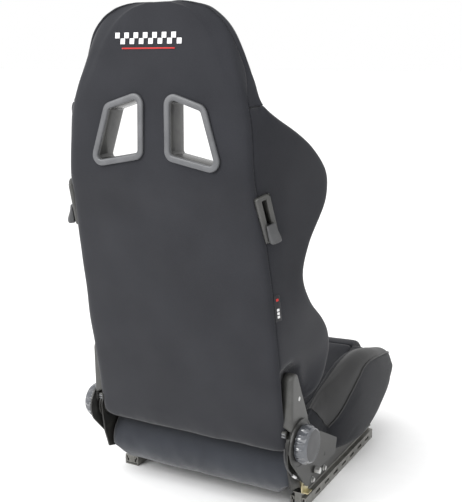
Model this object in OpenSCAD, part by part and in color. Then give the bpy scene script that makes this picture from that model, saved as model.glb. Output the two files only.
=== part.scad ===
// Reclining sports seat on sliding rails.
// Frame: origin on the floor, midway between the rails' four floor bolts; the seat faces -Y, +Z is up.
// Every part of the backrest is drawn upright about the recliner pivot and then leaned back.

/* [Recliner] */
// Height of the recliner pivot above the floor
pivot_z = 170; // [168:1:174]
// Distance of the recliner pivot behind the floor-bolt centre
pivot_y = 272; // [270:1:275]
// Angle of the backrest from upright
lean = 10; // [8:1:12]
// Radius of the hand knob over its flutes
knob_r = 39; // [36:0.5:40]

/* [Rails] */
// Distance of each rail's centre line from the middle
rail_x = 207; // [206:1:208]
// Length of each rail
rail_len = 404; // [398:2:410]
// Distance between the floor bolts along a rail
bolt_pitch_y = 280; // [260:2:300]
// Radius of the floor-bolt holes
bolt_hole_r = 4.25; // [3.5:0.25:4.5]

/* [Backrest] */
// Height of the backrest above the pivot, along its own slope
back_h = 840; // [836:1:842]
// Thickness of the padded rear panel
panel_t = 8; // [6:0.5:9]
// Depth of the hollow that holds the backrest frame
cavity_t = 20; // [19:0.5:21]

/* [Cushion] */
// Half width of the flat middle of the cushion
cushion_half = 164; // [160:1:166]
// Radius of the roll behind the cushion
roll_r = 52; // [48:1:53]

/* [Hidden] */
$fn = 48;

// Colours
steel_black = "#1d1d1f";
zinc = "#b9b9b4";
yellow_zinc = "#a8965a";
plastic = "#4b4b4d";
cloth = "#3b3c40";
vinyl = "#4a4a4a";

// Layers of the recliner, measured outwards from the middle of the seat
bracket_x = 218;
plate_t = 3.5;
play = 0.5;
hub_plate_x = bracket_x + plate_t + play;
arm_x = hub_plate_x + plate_t + play;
arm_cover_x = arm_x + plate_t + play;
cover_t = 3;
recliner_cover_x = arm_cover_x + cover_t + play;
knob_x = recliner_cover_x + cover_t + 1;
knob_depth = 26;
boss_r = 13;
shaft_r = 6;
hub_plate_r = 33;
gear_teeth = 30;
ring_tip_r = 24.2;
hub_tip_r = 23.9;
tooth_h = 1.6;
ring_r = 28;

// Rails: lower channel with turned-in lips, upper channel hooked under them
rail_w = 34;
lower_h = 22;
upper_top = 32;
wall = 2.5;
rail_mid = 12;
lip = 6;
lip_drop = 5;
web_half = 8.5;

// Cushion frame
side_w = 2 * (bracket_x - rail_x);
tube_r = 11;
front_tube_y = -168;
front_tube_z = 86;
roll_y = pivot_y - 47;
roll_z = pivot_z - 84;

// ---- helpers ----------------------------------------------------------------------------------

// Smooth value of column c of a table whose rows start with their own station, at station v
function row_of(t, v, i = 0) = (i >= len(t) - 2 || v < t[i + 1][0]) ? i : row_of(t, v, i + 1);
function slope_at(t, i, c) =
    let (a = max(0, i - 1), b = min(len(t) - 1, i + 1)) (t[b][c] - t[a][c]) / (t[b][0] - t[a][0]);
function smooth(t, v, c) =
    let (
        i = row_of(t, v),
        h = t[i + 1][0] - t[i][0],
        s = min(1, max(0, (v - t[i][0]) / h)),
        s2 = s * s,
        s3 = s2 * s
    )
    (2 * s3 - 3 * s2 + 1) * t[i][c] + (s3 - 2 * s2 + s) * h * slope_at(t, i, c)
    + (3 * s2 - 2 * s3) * t[i + 1][c] + (s3 - s2) * h * slope_at(t, i + 1, c);

// Even steps from a to b, both ends included
function steps(a, b, n) = [for (i = [0 : n]) a + (b - a) * i / n];

// Triangles across a ring of n points, each strip between two points equally far from its two ends
function strips(n) = [for (i = [0 : ceil(n / 2) - 2]) let (c = n - 2 - i, d = n - 1 - i)
    each (i + 1 == c ? [[i, c, d]] : [[i, i + 1, d], [i + 1, c, d]])];
function area_vector(r, i = 1) =
    i >= len(r) - 1 ? [0, 0, 0] : cross(r[i] - r[0], r[i + 1] - r[0]) + area_vector(r, i + 1);
// A closed solid through rings of equal point count
module loft(rings) {
    n = len(rings[0]);
    m = len(rings);
    inward = area_vector(rings[0]) * (rings[1][0] - rings[0][0]) < 0;
    polyhedron(
        points = [for (k = [0 : m - 1]) each rings[inward ? m - 1 - k : k]],
        faces = concat(
            strips(n),
            [for (k = [0 : m - 2]) for (i = [0 : n - 1])
                let (a = k * n + i, b = k * n + (i + 1) % n) each [[a, a + n, b], [b, a + n, b + n]]],
            [for (t = strips(n)) [for (j = [2 : -1 : 0]) (m - 1) * n + t[j]]]
        ),
        convexity = 6
    );
}

// A round rod swept along a path of points
function unit(v) = v / norm(v);
function tangent(p, i) = unit(p[min(len(p) - 1, i + 1)] - p[max(0, i - 1)]);
module sweep(path, r, sides, up) {
    loft([for (i = [0 : len(path) - 1])
        let (t = tangent(path, i), a = unit(cross(t, up)), b = cross(a, t))
        [for (k = [0 : sides - 1]) path[i] + r * (cos(360 * k / sides) * a + sin(360 * k / sides) * b)]]);
}

// Places children on both sides of the seat
module both_sides() {
    children();
    mirror([1, 0, 0]) children();
}
module on_side(s) {
    if (s > 0) children();
    else mirror([1, 0, 0]) children();
}

// Upright backrest frame: x across, y rearwards, z up along the backrest, origin on the pivot
module lean_back() {
    translate([0, pivot_y, pivot_z]) rotate([-lean, 0, 0]) children();
}
module at_pivot() {
    translate([0, pivot_y, pivot_z]) children();
}

// Extrudes a shape drawn in the YZ plane outwards along +X
module side_plate(x, t) {
    translate([x, 0, 0]) rotate([90, 0, 90]) linear_extrude(t) children();
}
module rod_x(x0, x1, r) {
    translate([x0, 0, 0]) rotate([0, 90, 0]) cylinder(h = x1 - x0, r = r);
}

// ---- rails ------------------------------------------------------------------------------------

module lower_rail_profile() {
    h = lower_h;
    w = rail_w / 2;
    polygon([
        [-w, 0], [w, 0], [w, h], [w - lip - wall, h], [w - lip - wall, h - lip_drop - wall],
        [w - lip, h - lip_drop - wall], [w - lip, h - wall], [w - wall, h - wall], [w - wall, wall],
        [-w + wall, wall], [-w + wall, h - wall], [-w + lip, h - wall], [-w + lip, h - lip_drop - wall],
        [-w + lip + wall, h - lip_drop - wall], [-w + lip + wall, h], [-w, h]
    ]);
}
module upper_rail_profile() {
    b = 5;
    t = upper_top;
    w = rail_w / 2 - wall - 0.9;
    polygon([
        [-w, b], [w, b], [w, b + 8.5], [w - 1.9, b + 8.5], [w - 1.9, b + 2], [web_half - 0.8, b + 2],
        [web_half - 0.8, t - wall], [12, t - wall], [12, t], [-12, t], [-12, t - wall],
        [-web_half + 0.8, t - wall], [-web_half + 0.8, b + 2], [-w + 1.9, b + 2], [-w + 1.9, b + 8.5], [-w, b + 8.5]
    ]);
}
module along_y(len) {
    translate([0, rail_mid + len / 2, 0]) rotate([90, 0, 0]) linear_extrude(len) children();
}
tooth_pitch = 50;
tooth_window = 24;
module lower_rail() {
    color(steel_black) difference() {
        along_y(rail_len) lower_rail_profile();
        for (y = [-bolt_pitch_y / 2, bolt_pitch_y / 2])
            translate([0, y, -1]) cylinder(h = wall + 2, r = bolt_hole_r);
        for (y = [-163 : tooth_pitch : 180]) translate([-rail_w / 2 - 1, y, 8]) cube([rail_w + 2, tooth_window, 6]);
    }
}
module lower_rail_side(s) on_side(s) translate([rail_x, 0, 0]) lower_rail();

module rail_end_stops() {
    color(plastic) both_sides() for (e = [-1, 1])
        translate([rail_x - rail_w / 2 + wall + 0.1, rail_mid + e * (rail_len / 2 - 3) - 2, wall])
            cube([rail_w - 2 * wall - 0.2, 4, 2.4]);
}

frame_bolt_y = [-130, 130];
module upper_rail() {
    color(steel_black) difference() {
        along_y(rail_len) upper_rail_profile();
        for (y = frame_bolt_y) translate([0, y, upper_top - 8]) cylinder(h = 9, r = 4);
    }
}
module upper_rail_side(s) on_side(s) translate([rail_x, 0, 0]) upper_rail();

// Steel balls between the upper rail's hooks and the lower rail's base
ball_r = 1.2;
module rail_balls() {
    color(zinc) both_sides() for (x = [-11, 11]) for (y = [-120, -60, 60, 120])
        translate([rail_x + x, y, wall + ball_r + 0.05]) sphere(r = ball_r, $fn = 24);
}

// ---- cushion frame ------------------------------------------------------------------------------

frame_top = [[-190, 108.5], [-146, 90], [-83, 68], [-50, 61], [195, 61]];
module frame_side_outline(inset) {
    polygon(concat([[195 + 9 * inset, upper_top + inset], [-190 - 9 * inset, upper_top + inset]],
        [for (p = frame_top) [p[0] + 9 * inset * sign(p[0]), p[1] - inset]]));
}
module frame_side() {
    color(steel_black) difference() {
        side_plate(rail_x - side_w / 2, side_w) frame_side_outline(0);
        side_plate(rail_x - side_w / 2 + 2, side_w - 4) frame_side_outline(2);
        for (y = frame_bolt_y) translate([rail_x, y, upper_top - 1]) cylinder(h = 5, r = 4.2);
        translate([0, bar_pivot_y, bar_z]) rod_x(rail_x - side_w / 2 - 1, rail_x, bar_r - 0.95);
        at_pivot() for (p = bracket_bolt_at) translate([0, p[0], p[1]]) rod_x(rail_x, bracket_x + 1, 3.1);
    }
}
module frame_front_tube() {
    color(steel_black) translate([0, front_tube_y, front_tube_z]) difference() {
        rod_x(-(rail_x - side_w / 2), rail_x - side_w / 2, tube_r);
        rod_x(-rail_x, rail_x, tube_r - 2);
    }
}
module frame_rear_tube() {
    color(steel_black) translate([0, roll_y, roll_z]) difference() {
        rod_x(-bracket_x, bracket_x, tube_r);
        rod_x(-bracket_x - 1, bracket_x + 1, tube_r - 2);
    }
}
// Sinuous wires from the front tube to the rear tube
wire_r = 1.7;
module zigzag(x, y0, z0, y1, z1, waves, half) {
    n = waves * 8;
    sweep([for (i = [0 : n]) let (s = i / n, e = min(1, 8 * s, 8 * (1 - s)))
        [x + half * e * sin(360 * waves * s), y0 + (y1 - y0) * s, z0 + (z1 - z0) * s]], wire_r, 6, [0, 0, 1]);
}
module seat_springs() {
    color(zinc) for (x = [-105, -35, 35, 105])
        zigzag(x, front_tube_y + 13.2, front_tube_z + 2, roll_y - 13.2, roll_z + 2, 5, 20);
}

// ---- cushion ------------------------------------------------------------------------------------

// Rows: y, outer half width, crest height
bolster_rows = [
    [-276, 218, 160], [-265, 240, 190], [-228, 256, 218], [-150, 261, 242], [-100, 260, 255], [-50, 256, 260],
    [0, 248, 251], [45, 231, 227], [75, 211, 204], [100, 205, 188], [150, 204, 164], [196, 202, 146]
];
// Rows: y, height of the middle of the cushion, height of the underside of its sides
middle_rows = [
    [-276, 168, 150], [-262, 204, 140], [-238, 224, 130], [-208, 228, 117], [-146, 208, 92], [-83, 193, 70],
    [-40, 184, 62], [0, 178, 62], [100, 166, 62], [196, 160, 62]
];
pad_base = 99;
nose_y = -195;
cushion_rear_y = 171;
gap = 0.3;
function crest_z(y) = smooth(bolster_rows, y, 2);
function outer_x(y) = smooth(bolster_rows, y, 1);
function middle_z(y) = smooth(middle_rows, y, 1);
function under_z(y) = smooth(middle_rows, y, 2);

module cushion_bolster(s) {
    ys = concat([-276, -271], steps(-264, 60, 16), [75, 100, 125, 150, cushion_rear_y]);
    color(vinyl) on_side(s) loft([for (y = ys)
        let (o = outer_x(y), c = crest_z(y), i = cushion_half + gap, b = under_z(y),
            h = c - b, m = min(c - min(6, 0.4 * h), middle_z(y)))
        [for (p = [
            [i, b], [i, m], [i + 14, max(m, (m + c) / 2 - 4)], [i + (o - i) * 0.32, c - min(13, 0.3 * h)],
            [i + (o - i) * 0.48, c - min(5, 0.12 * h)], [i + (o - i) * 0.68, c], [o - 12, c - min(9, 0.2 * h)], [o - 3, c - min(30, 0.35 * h)],
            [o, (c + b) / 2], [o - 5, b + min(12, 0.15 * h)], [o - 14, b]
        ]) [p[0], y, p[1]]]]);
}
module cushion_middle(ys, base) {
    color(cloth) loft([for (y = ys) let (z = middle_z(y), h = cushion_half, b = max(base, under_z(y)))
        [for (p = [[-h, z], [-h / 2, z - 3], [0, z - 4], [h / 2, z - 3], [h, z],
            [h, b], [h / 2, b], [0, b], [-h / 2, b], [-h, b]]) [p[0], y, p[1]]]]);
}
module cushion_center_pad() cushion_middle(steps(nose_y + gap, cushion_rear_y, 14), pad_base);
module cushion_nose() cushion_middle([-276, -271, -264, -254, -240, -225, -210, nose_y], pad_base);
roll_half = 216;
// The roll closes the cushion behind: its lower corners are cut away above the rails, and it is slit for the wires
module cushion_rear_roll() {
    color(cloth) translate([0, roll_y, roll_z]) difference() {
        intersection() {
            rod_x(-roll_half, roll_half, roll_r);
            rotate([90, 0, 0]) translate([0, 0, -80]) linear_extrude(160)
                polygon([[-roll_half, -12], [-194, -24], [-174, -60], [174, -60], [194, -24], [roll_half, -12],
                    [roll_half, 60], [-roll_half, 60]]);
        }
        rod_x(-220, 220, tube_r + 0.3);
        translate([-130, -60, -2]) cube([260, 50, 8]);
    }
}

// ---- recliner, fixed side -------------------------------------------------------------------------

// Outline of the lower bracket and, larger, of the plastic cover over it: y and z from the pivot
module bracket_outline() {
    difference() {
        union() {
            circle(r = 31);
            polygon([[0, 31], [-31, 3], [-44, -12], [-110, -40], [-190, -72], [-182, -128], [-60, -128], [-28, -110],
                [8, -100], [22, -60], [31, 0]]);
        }
        circle(r = ring_r + 0.05);
    }
}
bracket_bolt_at = [[-158, -122], [-95, -122]];
cover_screw_at = [[-122, -72], [-25, -32]];
hex_bolt_at = [-68, -84];
module side_bracket(s) {
    color(steel_black) on_side(s) at_pivot() difference() {
        side_plate(bracket_x, plate_t) bracket_outline();
        translate([0, roll_y - pivot_y, roll_z - pivot_z]) rod_x(bracket_x - 1, bracket_x + 9, 4.2);
        for (p = concat(bracket_bolt_at, cover_screw_at, [hex_bolt_at]))
            translate([0, p[0], p[1]]) rod_x(bracket_x - 1, bracket_x + 9, 3.2);
    }
}
// Toothed disc outline: n teeth between a root and a tip radius
module toothed(n, root_r, tip_r) {
    polygon([for (i = [0 : n - 1]) for (k = [[0.02, root_r], [0.3, tip_r], [0.5, tip_r], [0.78, root_r]])
        let (a = 360 * (i + k[0]) / n) k[1] * [cos(a), sin(a)]]);
}
module ring_gears() {
    color(steel_black) both_sides() at_pivot() side_plate(bracket_x, plate_t) difference() {
        circle(r = ring_r, $fn = 144);
        toothed(gear_teeth, ring_tip_r + tooth_h, ring_tip_r);
    }
}
module hex_bolt(r, len) {
    rod_x(-len, 0, r);
    rod_x(0, 1.2, r * 2.1);
    translate([1.2, 0, 0]) rotate([0, 90, 0]) cylinder(h = r * 1.3, r = r * 1.75, $fn = 6);
}
module bracket_bolts() {
    color(zinc) both_sides() {
        at_pivot() {
            for (p = bracket_bolt_at) translate([bracket_x + plate_t, p[0], p[1]]) hex_bolt(3, 12);
            translate([bracket_x + plate_t, roll_y - pivot_y, roll_z - pivot_z]) hex_bolt(4, 10);
            translate([bracket_x + plate_t, hex_bolt_at[0], hex_bolt_at[1]]) {
                rod_x(-plate_t, 0, 3);
                rod_x(0, 22, 6);
                translate([22, 0, 0]) rotate([0, 90, 0]) cylinder(h = 7, r = 7, $fn = 6);
            }
        }
        for (y = frame_bolt_y) translate([rail_x, y, upper_top + 2]) {
            cylinder(h = 5, r = 7, $fn = 6);
            translate([0, 0, -9]) cylinder(h = 9, r = 3.9);
        }
    }
}
// Plastic cover over the fixed bracket: a round plate behind the knob, a front wing and a foot
cover_r = 49;
module cover_outline() {
    difference() {
        union() {
            hull() {
                circle(r = cover_r, $fn = 32);
                translate([-40, -94]) circle(r = 14, $fn = 32);
            }
            hull() {
                circle(r = 36, $fn = 32);
                translate([-44, -76]) circle(r = 16, $fn = 32);
                translate([-186, -66]) circle(r = 6, $fn = 32);
                translate([-180, -90]) circle(r = 6, $fn = 32);
            }
        }
        translate(hex_bolt_at) circle(r = 6.1);
    }
}
module recliner_cover(s) {
    color(plastic) on_side(s) at_pivot() difference() {
        union() {
            side_plate(recliner_cover_x, cover_t) cover_outline();
            side_plate(recliner_cover_x + cover_t, 0.8) difference() {
                circle(r = cover_r - 0.5);
                circle(r = cover_r - 3);
            }
            for (p = cover_screw_at) translate([0, p[0], p[1]])
                rod_x(bracket_x + plate_t, recliner_cover_x + 1, 6);
            translate([0, hex_bolt_at[0], hex_bolt_at[1]]) rod_x(bracket_x + plate_t, bracket_x + 22, 7.8);
        }
        translate([0, hex_bolt_at[0], hex_bolt_at[1]]) rod_x(bracket_x, bracket_x + 30, 6.1);
        rod_x(recliner_cover_x - 1, recliner_cover_x + 9, 9);
        for (p = cover_screw_at) translate([0, p[0], p[1]]) {
            rod_x(bracket_x, recliner_cover_x + 9, 2.1);
            rod_x(recliner_cover_x + 1.4, recliner_cover_x + 9, 4);
        }
    }
}
module cover_screws() {
    color(steel_black) both_sides() at_pivot() for (p = cover_screw_at) translate([0, p[0], p[1]]) {
        rod_x(bracket_x + 1, recliner_cover_x + 2, 2);
        rod_x(recliner_cover_x + 1.5, recliner_cover_x + cover_t - 0.2, 3.8);
    }
}
// Flat spiral spring that carries the backrest's weight, inside each bracket
spiral_w = 3.6;
module spiral_springs() {
    turns = 3;
    n = turns * 24;
    w = 1.1;
    function at(i, off) =
        let (r = 13 + 4.8 * turns * i / n + off, a = -100 + 360 * turns * i / n) r * [cos(a), sin(a)];
    color(steel_black) both_sides() at_pivot() side_plate(bracket_x - spiral_w - 0.3, spiral_w)
        polygon(concat([for (i = [0 : n]) at(i, w)], [for (i = [n : -1 : 0]) at(i, -w)]));
}
// Folded bracket at the rear of the right rail that holds the latch cable's end
module cable_anchor() {
    color(yellow_zinc) on_side(-1) at_pivot() difference() {
        union() {
            side_plate(bracket_x + plate_t + 0.2, 2.5) polygon([[-72, -104], [-36, -100], [-40, -128], [-68, -128]]);
            translate([bracket_x + plate_t + 0.2, -64, -130]) cube([13, 20, 2.5]);
        }
        translate([0, -47, -111]) rod_x(bracket_x, bracket_x + 9, 3.5);
    }
}
// Release cable that leaves the arm and runs down behind the recliner to the anchor: x, y and z from the pivot
cable_points = [
    [223.8, 47, 4], [223.8, 48, -8], [223.8, 46, -20], [223.8, 41, -32], [223.8, 34, -43], [223.8, 25, -53],
    [223.8, 15, -63], [224, 4, -72], [224.6, -9, -81], [225.4, -22, -90], [226.2, -33, -98], [227, -42, -105]
];
cable_r = 2.1;
module latch_cable() {
    color(steel_black) on_side(-1) at_pivot() sweep(cable_points, cable_r, 8, [1, 0, 0]);
}

// ---- slide adjuster --------------------------------------------------------------------------------

bar_z = 44;
bar_pivot_y = -150;
bar_r = 5;
bar_front = -254;
bar_pin_x = rail_x - side_w / 2 + 3;
module adjust_bar() {
    x = rail_x - side_w / 2 - 12;
    color(steel_black) {
        both_sides() {
            translate([x, bar_front, bar_z]) rotate([-90, 0, 0])
                cylinder(h = bar_pivot_y + 20 - bar_front, r = bar_r);
            translate([x, bar_front, bar_z]) sphere(r = bar_r);
        }
        translate([0, bar_front, bar_z]) rod_x(-x, x, bar_r);
        translate([0, bar_pivot_y, bar_z]) rod_x(-bar_pin_x, bar_pin_x, bar_r - 1);
    }
}
module adjust_bar_grip() {
    color(plastic) translate([0, bar_front, bar_z]) difference() {
        rod_x(-60, 60, bar_r + 3);
        rod_x(-61, 61, bar_r + 0.05);
    }
}
// Latch feet at the bar's rear ends, beside the rails' windows
module rail_latches() {
    x = rail_x - side_w / 2 - 12;
    color(zinc) both_sides() {
        translate([x - 4, bar_pivot_y + 20, bar_z - 14]) cube([8, 46, 3]);
        translate([x - 4, bar_pivot_y + 20, bar_z - 14]) cube([8, 4, 20]);
    }
}
module latch_springs() {
    x = rail_x - side_w / 2 - 12;
    color(zinc) both_sides() translate([x, bar_pivot_y + 52, bar_z - 10.8]) difference() {
        cylinder(h = 20, r = 4);
        translate([0, 0, -1]) cylinder(h = 22, r = 2.6);
    }
}

// ---- recliner, turning parts -------------------------------------------------------------------------

module drive_shaft() {
    color(zinc) at_pivot() rod_x(-knob_x - 12, knob_x + 12, shaft_r);
}
flutes = 16;
module knob(s) {
    color(plastic) on_side(s) at_pivot() difference() {
        union() {
            side_plate(knob_x, knob_depth - 8) difference() {
                circle(r = knob_r);
                for (i = [0 : flutes - 1]) rotate(360 * i / flutes) translate([knob_r + 5.6, 0]) circle(r = 7);
            }
            translate([knob_x + knob_depth - 8, 0, 0]) rotate([0, 90, 0])
                cylinder(h = 8, r1 = knob_r - 1.5, r2 = knob_r - 5);
        }
        rod_x(knob_x - 1, knob_x + 12, shaft_r + 0.05);
        translate([knob_x + knob_depth - 1.5, 0, 0]) rod_x(0, 3, knob_r - 7);
    }
}
module knob_caps() {
    color(plastic) both_sides() at_pivot() rod_x(knob_x + knob_depth - 1.5, knob_x + knob_depth - 0.3, knob_r - 7.1);
}
module hub_gears() {
    color(steel_black) both_sides() at_pivot() difference() {
        union() {
            side_plate(bracket_x, plate_t) toothed(gear_teeth - 1, hub_tip_r - tooth_h, hub_tip_r);
            rod_x(bracket_x, arm_cover_x, boss_r);
            side_plate(hub_plate_x, plate_t) difference() {
                circle(r = hub_plate_r);
                translate([-29.5, 22.6]) circle(r = 6.5);
            }
        }
        rod_x(bracket_x - 1, arm_cover_x + 1, shaft_r + 0.1);
    }
}

// ---- backrest structure ---------------------------------------------------------------------------------

// Rows: height, rear half width, rear depth, wing tip half width, wing tip depth, front depth of the middle
head_v = 662;
back_rows = [
    [-18, 216, 24, 0, 0, 0], [0, 218, 29, 219, -8, -30], [43, 218, 31, 224, -37, -50], [88, 216, 33, 241, -108, -58],
    [130, 216, 34, 248, -133, -62], [159, 216, 34, 250, -139, -64], [217, 216, 35, 250, -118, -64],
    [281, 214, 35, 246, -68, -56], [340, 213, 36, 242, -51, -46], [400, 210, 38, 252, -70, -34],
    [460, 206, 40, 266, -110, -20], [500, 203, 43.5, 268, -124, -11], [530, 200, 46, 266, -118, -5],
    [574, 197, 40.6, 255, -92, -6], [605, 195, 34.6, 240, -66, -11], [640, 192, 27.8, 219, -32, -18],
    [662, 188, 23.5, 205, -17, -23], [683, 181, 19.4, 194, -17, -28], [705, 170, 14.5, 185, -19, -38],
    [725, 158, 9, 176, -21, -54], [758, 142, -1, 163, -22, -68], [792, 121, -11, 146, -23, -73],
    [815, 98, -17, 124, -26, -70], [832, 68, -23, 95, -28, -62], [840, 30, -27, 58, -31, -52]
];
function rear_x(v) = smooth(back_rows, v, 1);
function rear_n(v) = smooth(back_rows, v, 2);
function tip_x(v) = smooth(back_rows, v, 3);
function tip_n(v) = smooth(back_rows, v, 4);
function front_n(v) = smooth(back_rows, v, 5);
wing_in = 22;
function inner_x(v) = rear_x(v) - wing_in;

hoop_r = 8.5;
function hoop_n(v) = rear_n(v) - panel_t - cavity_t / 2;
hoop_half = [
    [180, 36], [181, 120], [181, 220], [180, 320], [178, 400], [174, 470], [168, 540], [163, 600],
    [158, 650], [150, 690], [136, 725], [114, 754], [84, 773], [44, 782], [0, 784]
];
module back_frame_hoop() {
    half = [for (p = hoop_half) [p[0], hoop_n(p[1]), p[1]]];
    path = concat(half, [for (i = [len(half) - 2 : -1 : 0]) [-half[i][0], half[i][1], half[i][2]]]);
    color(steel_black) lean_back() sweep(path, hoop_r, 10, [0, 1, 0]);
}
module back_frame_crossbars() {
    color(steel_black) lean_back() for (v = [60, 300, 480]) {
        x = (v > 400 ? 173 : 180) - hoop_r;
        translate([0, hoop_n(v), v]) rod_x(-x, x, 7);
    }
}
module back_springs() {
    color(zinc) lean_back() for (v = [120, 170, 220, 350, 410])
        sweep([for (i = [0 : 40]) let (s = i / 40, e = min(1, 8 * s, 8 * (1 - s)))
            [-166 + 332 * s, hoop_n(v), v + 16 * e * sin(360 * 5 * s)]], 1.5, 6, [0, 1, 0]);
}

// Recliner arm outline, in the upright backrest frame
module arm_outline() {
    hull() {
        circle(r = 24);
        translate([-30, 32]) circle(r = 14);
        translate([-4, 128]) circle(r = 12);
        translate([12, 20]) circle(r = 12);
    }
}
arm_bolt_at = [[-14, 58], [-13, 91]];
module recliner_arm(s) {
    color(steel_black) on_side(s) lean_back() difference() {
        side_plate(arm_x, plate_t) arm_outline();
        rod_x(arm_x - 1, arm_x + 9, boss_r + 0.05);
        for (p = arm_bolt_at) translate([0, p[0], p[1]]) rod_x(arm_x - 1, arm_x + 9, 4.1);
    }
}
// Plastic cover of the arm: a face, and a flange that wraps round its top and rear edge
module arm_cover_outline() {
    hull() {
        translate([-34, 30]) circle(r = 16, $fn = 32);
        translate([14, 24]) circle(r = 16, $fn = 32);
        translate([-2, 134]) circle(r = 15, $fn = 32);
    }
}
flange_x = 210.6;
flange_t = 2.6;
module arm_cover(s) {
    color(plastic) on_side(s) lean_back() difference() {
        union() {
            side_plate(arm_cover_x, cover_t) arm_cover_outline();
            side_plate(flange_x, arm_cover_x - flange_x + 1) intersection() {
                difference() {
                    arm_cover_outline();
                    offset(delta = -flange_t) arm_cover_outline();
                }
                polygon([[-10, 160], [-10, 128], [0, 50], [40, 50], [40, 160]]);
            }
        }
        rod_x(arm_cover_x - 1, arm_cover_x + 9, boss_r + 3);
        translate([0, arm_bolt_at[1][0], arm_bolt_at[1][1]]) rod_x(arm_cover_x - 1, arm_cover_x + 9, 3.6);
    }
}
module arm_bolts() {
    color(zinc) both_sides() lean_back() for (p = arm_bolt_at)
        translate([0, p[0], p[1]]) {
            rod_x(190, arm_x + plate_t, 4);
            rod_x(arm_x - 6, arm_x, 7);
        }
}

// ---- backrest padding ---------------------------------------------------------------------------------------

// Harness opening: corners as x and height, and the radius of its corners
slot_corners = [[22, 695], [23, 570], [145, 547], [107, 668]];
slot_corner_r = 20;
rim_w = 12;
module slot_shape(inset) {
    offset(r = slot_corner_r - inset, $fn = 32) offset(delta = -slot_corner_r) polygon(slot_corners);
}
// A slot-shaped prism through the backrest, x and height in its own plane
module slot_prism(inset, n0, n1) {
    translate([0, n1, 0]) rotate([90, 0, 0]) linear_extrude(n1 - n0) slot_shape(inset);
}
module slot_tunnels() slot_frame() both_sides() {
    slot_prism(rim_w - 3.4, -120, 40);
    slot_prism(-1, -120, sleeve_front + 2.7);
}

module back_panel() {
    color(cloth) lean_back() difference() {
        loft([for (v = concat([-18, -8], steps(4, 774, 22), [792, 808, 822, 832, back_h - 1]))
            let (x = min(213.6, rear_x(v) - 2), n = rear_n(v), r = 12, w = v < 160 ? 206 : x, e = v < 160 ? 2.5 : 4)
            [for (p = [[-w, n - panel_t], [-x, n - e], [-x + r, n - 1], [0, n + 1], [x - r, n - 1], [x, n - e],
                [w, n - panel_t]]) [p[0], p[1], v]]]);
        slot_tunnels();
        lever_space();
    }
}
pad_gap = 1.4;
// Section of a wing at height v, clockwise from its rear inner corner
function wing_ring(v) =
    let (
        a = rear_x(v), n = rear_n(v), t = tip_x(v), f = tip_n(v), i = inner_x(v), c = front_n(v),
        b = a + (t - a) * (v < 150 ? 0.3 : 0.5), bn = n + (f - n) * (v < 150 ? 0.6 : 0.42), m = n - panel_t - pad_gap,
        w = min(30, t - i - 4), k = min(1, max(0, (c - f) / 30))
    )
    [for (p = [
        [i, m], [a - 4, m], [a, m - 5], [a, m - 14], [b, min(max(bn, f + 26), m - 16)],
        [t, min(f + 16, m - 20)], [t - 4, f + 5], [t - 12, f], [t - w * 0.8, f + 3 * k], [t - w, f + 12 * k],
        [i, max(f - 4, min(c, n - panel_t - cavity_t - 4))]
    ]) [p[0], p[1], v]];
module recliner_space(s) {
    on_side(s) side_plate(208, 60) polygon([[-57, -10], [60, -10], [60, 156], [-8, 156], [-21, 142], [-55, 36]]);
}
module hip_bolster(s) {
    color(cloth) lean_back() difference() {
        on_side(s) loft([for (v = concat([13.5, 25], steps(43, 313, 12))) wing_ring(v)]);
        recliner_space(s);
        arm_bolt_space();
    }
}
module arm_bolt_space() {
    both_sides() for (p = arm_bolt_at) translate([0, p[0], p[1]]) rod_x(185, 230, 7.5);
}
module shoulder_bolster(s) {
    color(cloth) lean_back() difference() {
        on_side(s) loft([for (v = steps(313.3, head_v, 16)) wing_ring(v)]);
        lever_space();
    }
}
module back_center_pad() {
    color(cloth) lean_back() difference() {
        loft([for (v = concat([22, 40], steps(60, head_v, 18)))
            let (x = inner_x(v) - gap, n = rear_n(v) - panel_t - cavity_t - gap, f = front_n(v))
            [for (p = [[-x, n], [x, n], [x, f], [x / 2, f - 2], [0, f - 3], [-x / 2, f - 2], [-x, f]])
                [p[0], p[1], v]]]);
        slot_tunnels();
        arm_bolt_space();
    }
}
// The headrest is one pad whose rear is hollowed for the top of the frame
hollow_at = [9, 720];
hollow_tilt = 14.2;
hollow_outline = [
    [-168, -70], [168, -70], [161, -20], [147, 22], [122, 56], [92, 84], [-92, 84], [-122, 56], [-147, 22],
    [-161, -20]
];
module headrest_pad() {
    color(cloth) lean_back() difference() {
        loft([for (v = concat([head_v + gap, 683], steps(700, 800, 6), [815, 828, back_h - 1]))
            let (x = rear_x(v) - 2, n = rear_n(v) - panel_t - pad_gap, t = tip_x(v), m = tip_n(v), f = front_n(v))
            [for (p = [[-x, n], [x, n], [t, m], [t * 0.96, m * 0.7 + f * 0.3], [t * 0.8, m * 0.25 + f * 0.75],
                [t * 0.5, f], [0, f - 2], [-t * 0.5, f], [-t * 0.8, m * 0.25 + f * 0.75],
                [-t * 0.96, m * 0.7 + f * 0.3], [-t, m]]) [p[0], p[1], v]]]);
        translate([0, hollow_at[0], hollow_at[1]]) rotate([hollow_tilt, 0, 0]) rotate([90, 0, 0])
            translate([0, 0, -30]) linear_extrude(62) polygon(hollow_outline);
        slot_tunnels();
    }
}

// ---- harness bezels -------------------------------------------------------------------------------------------

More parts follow.
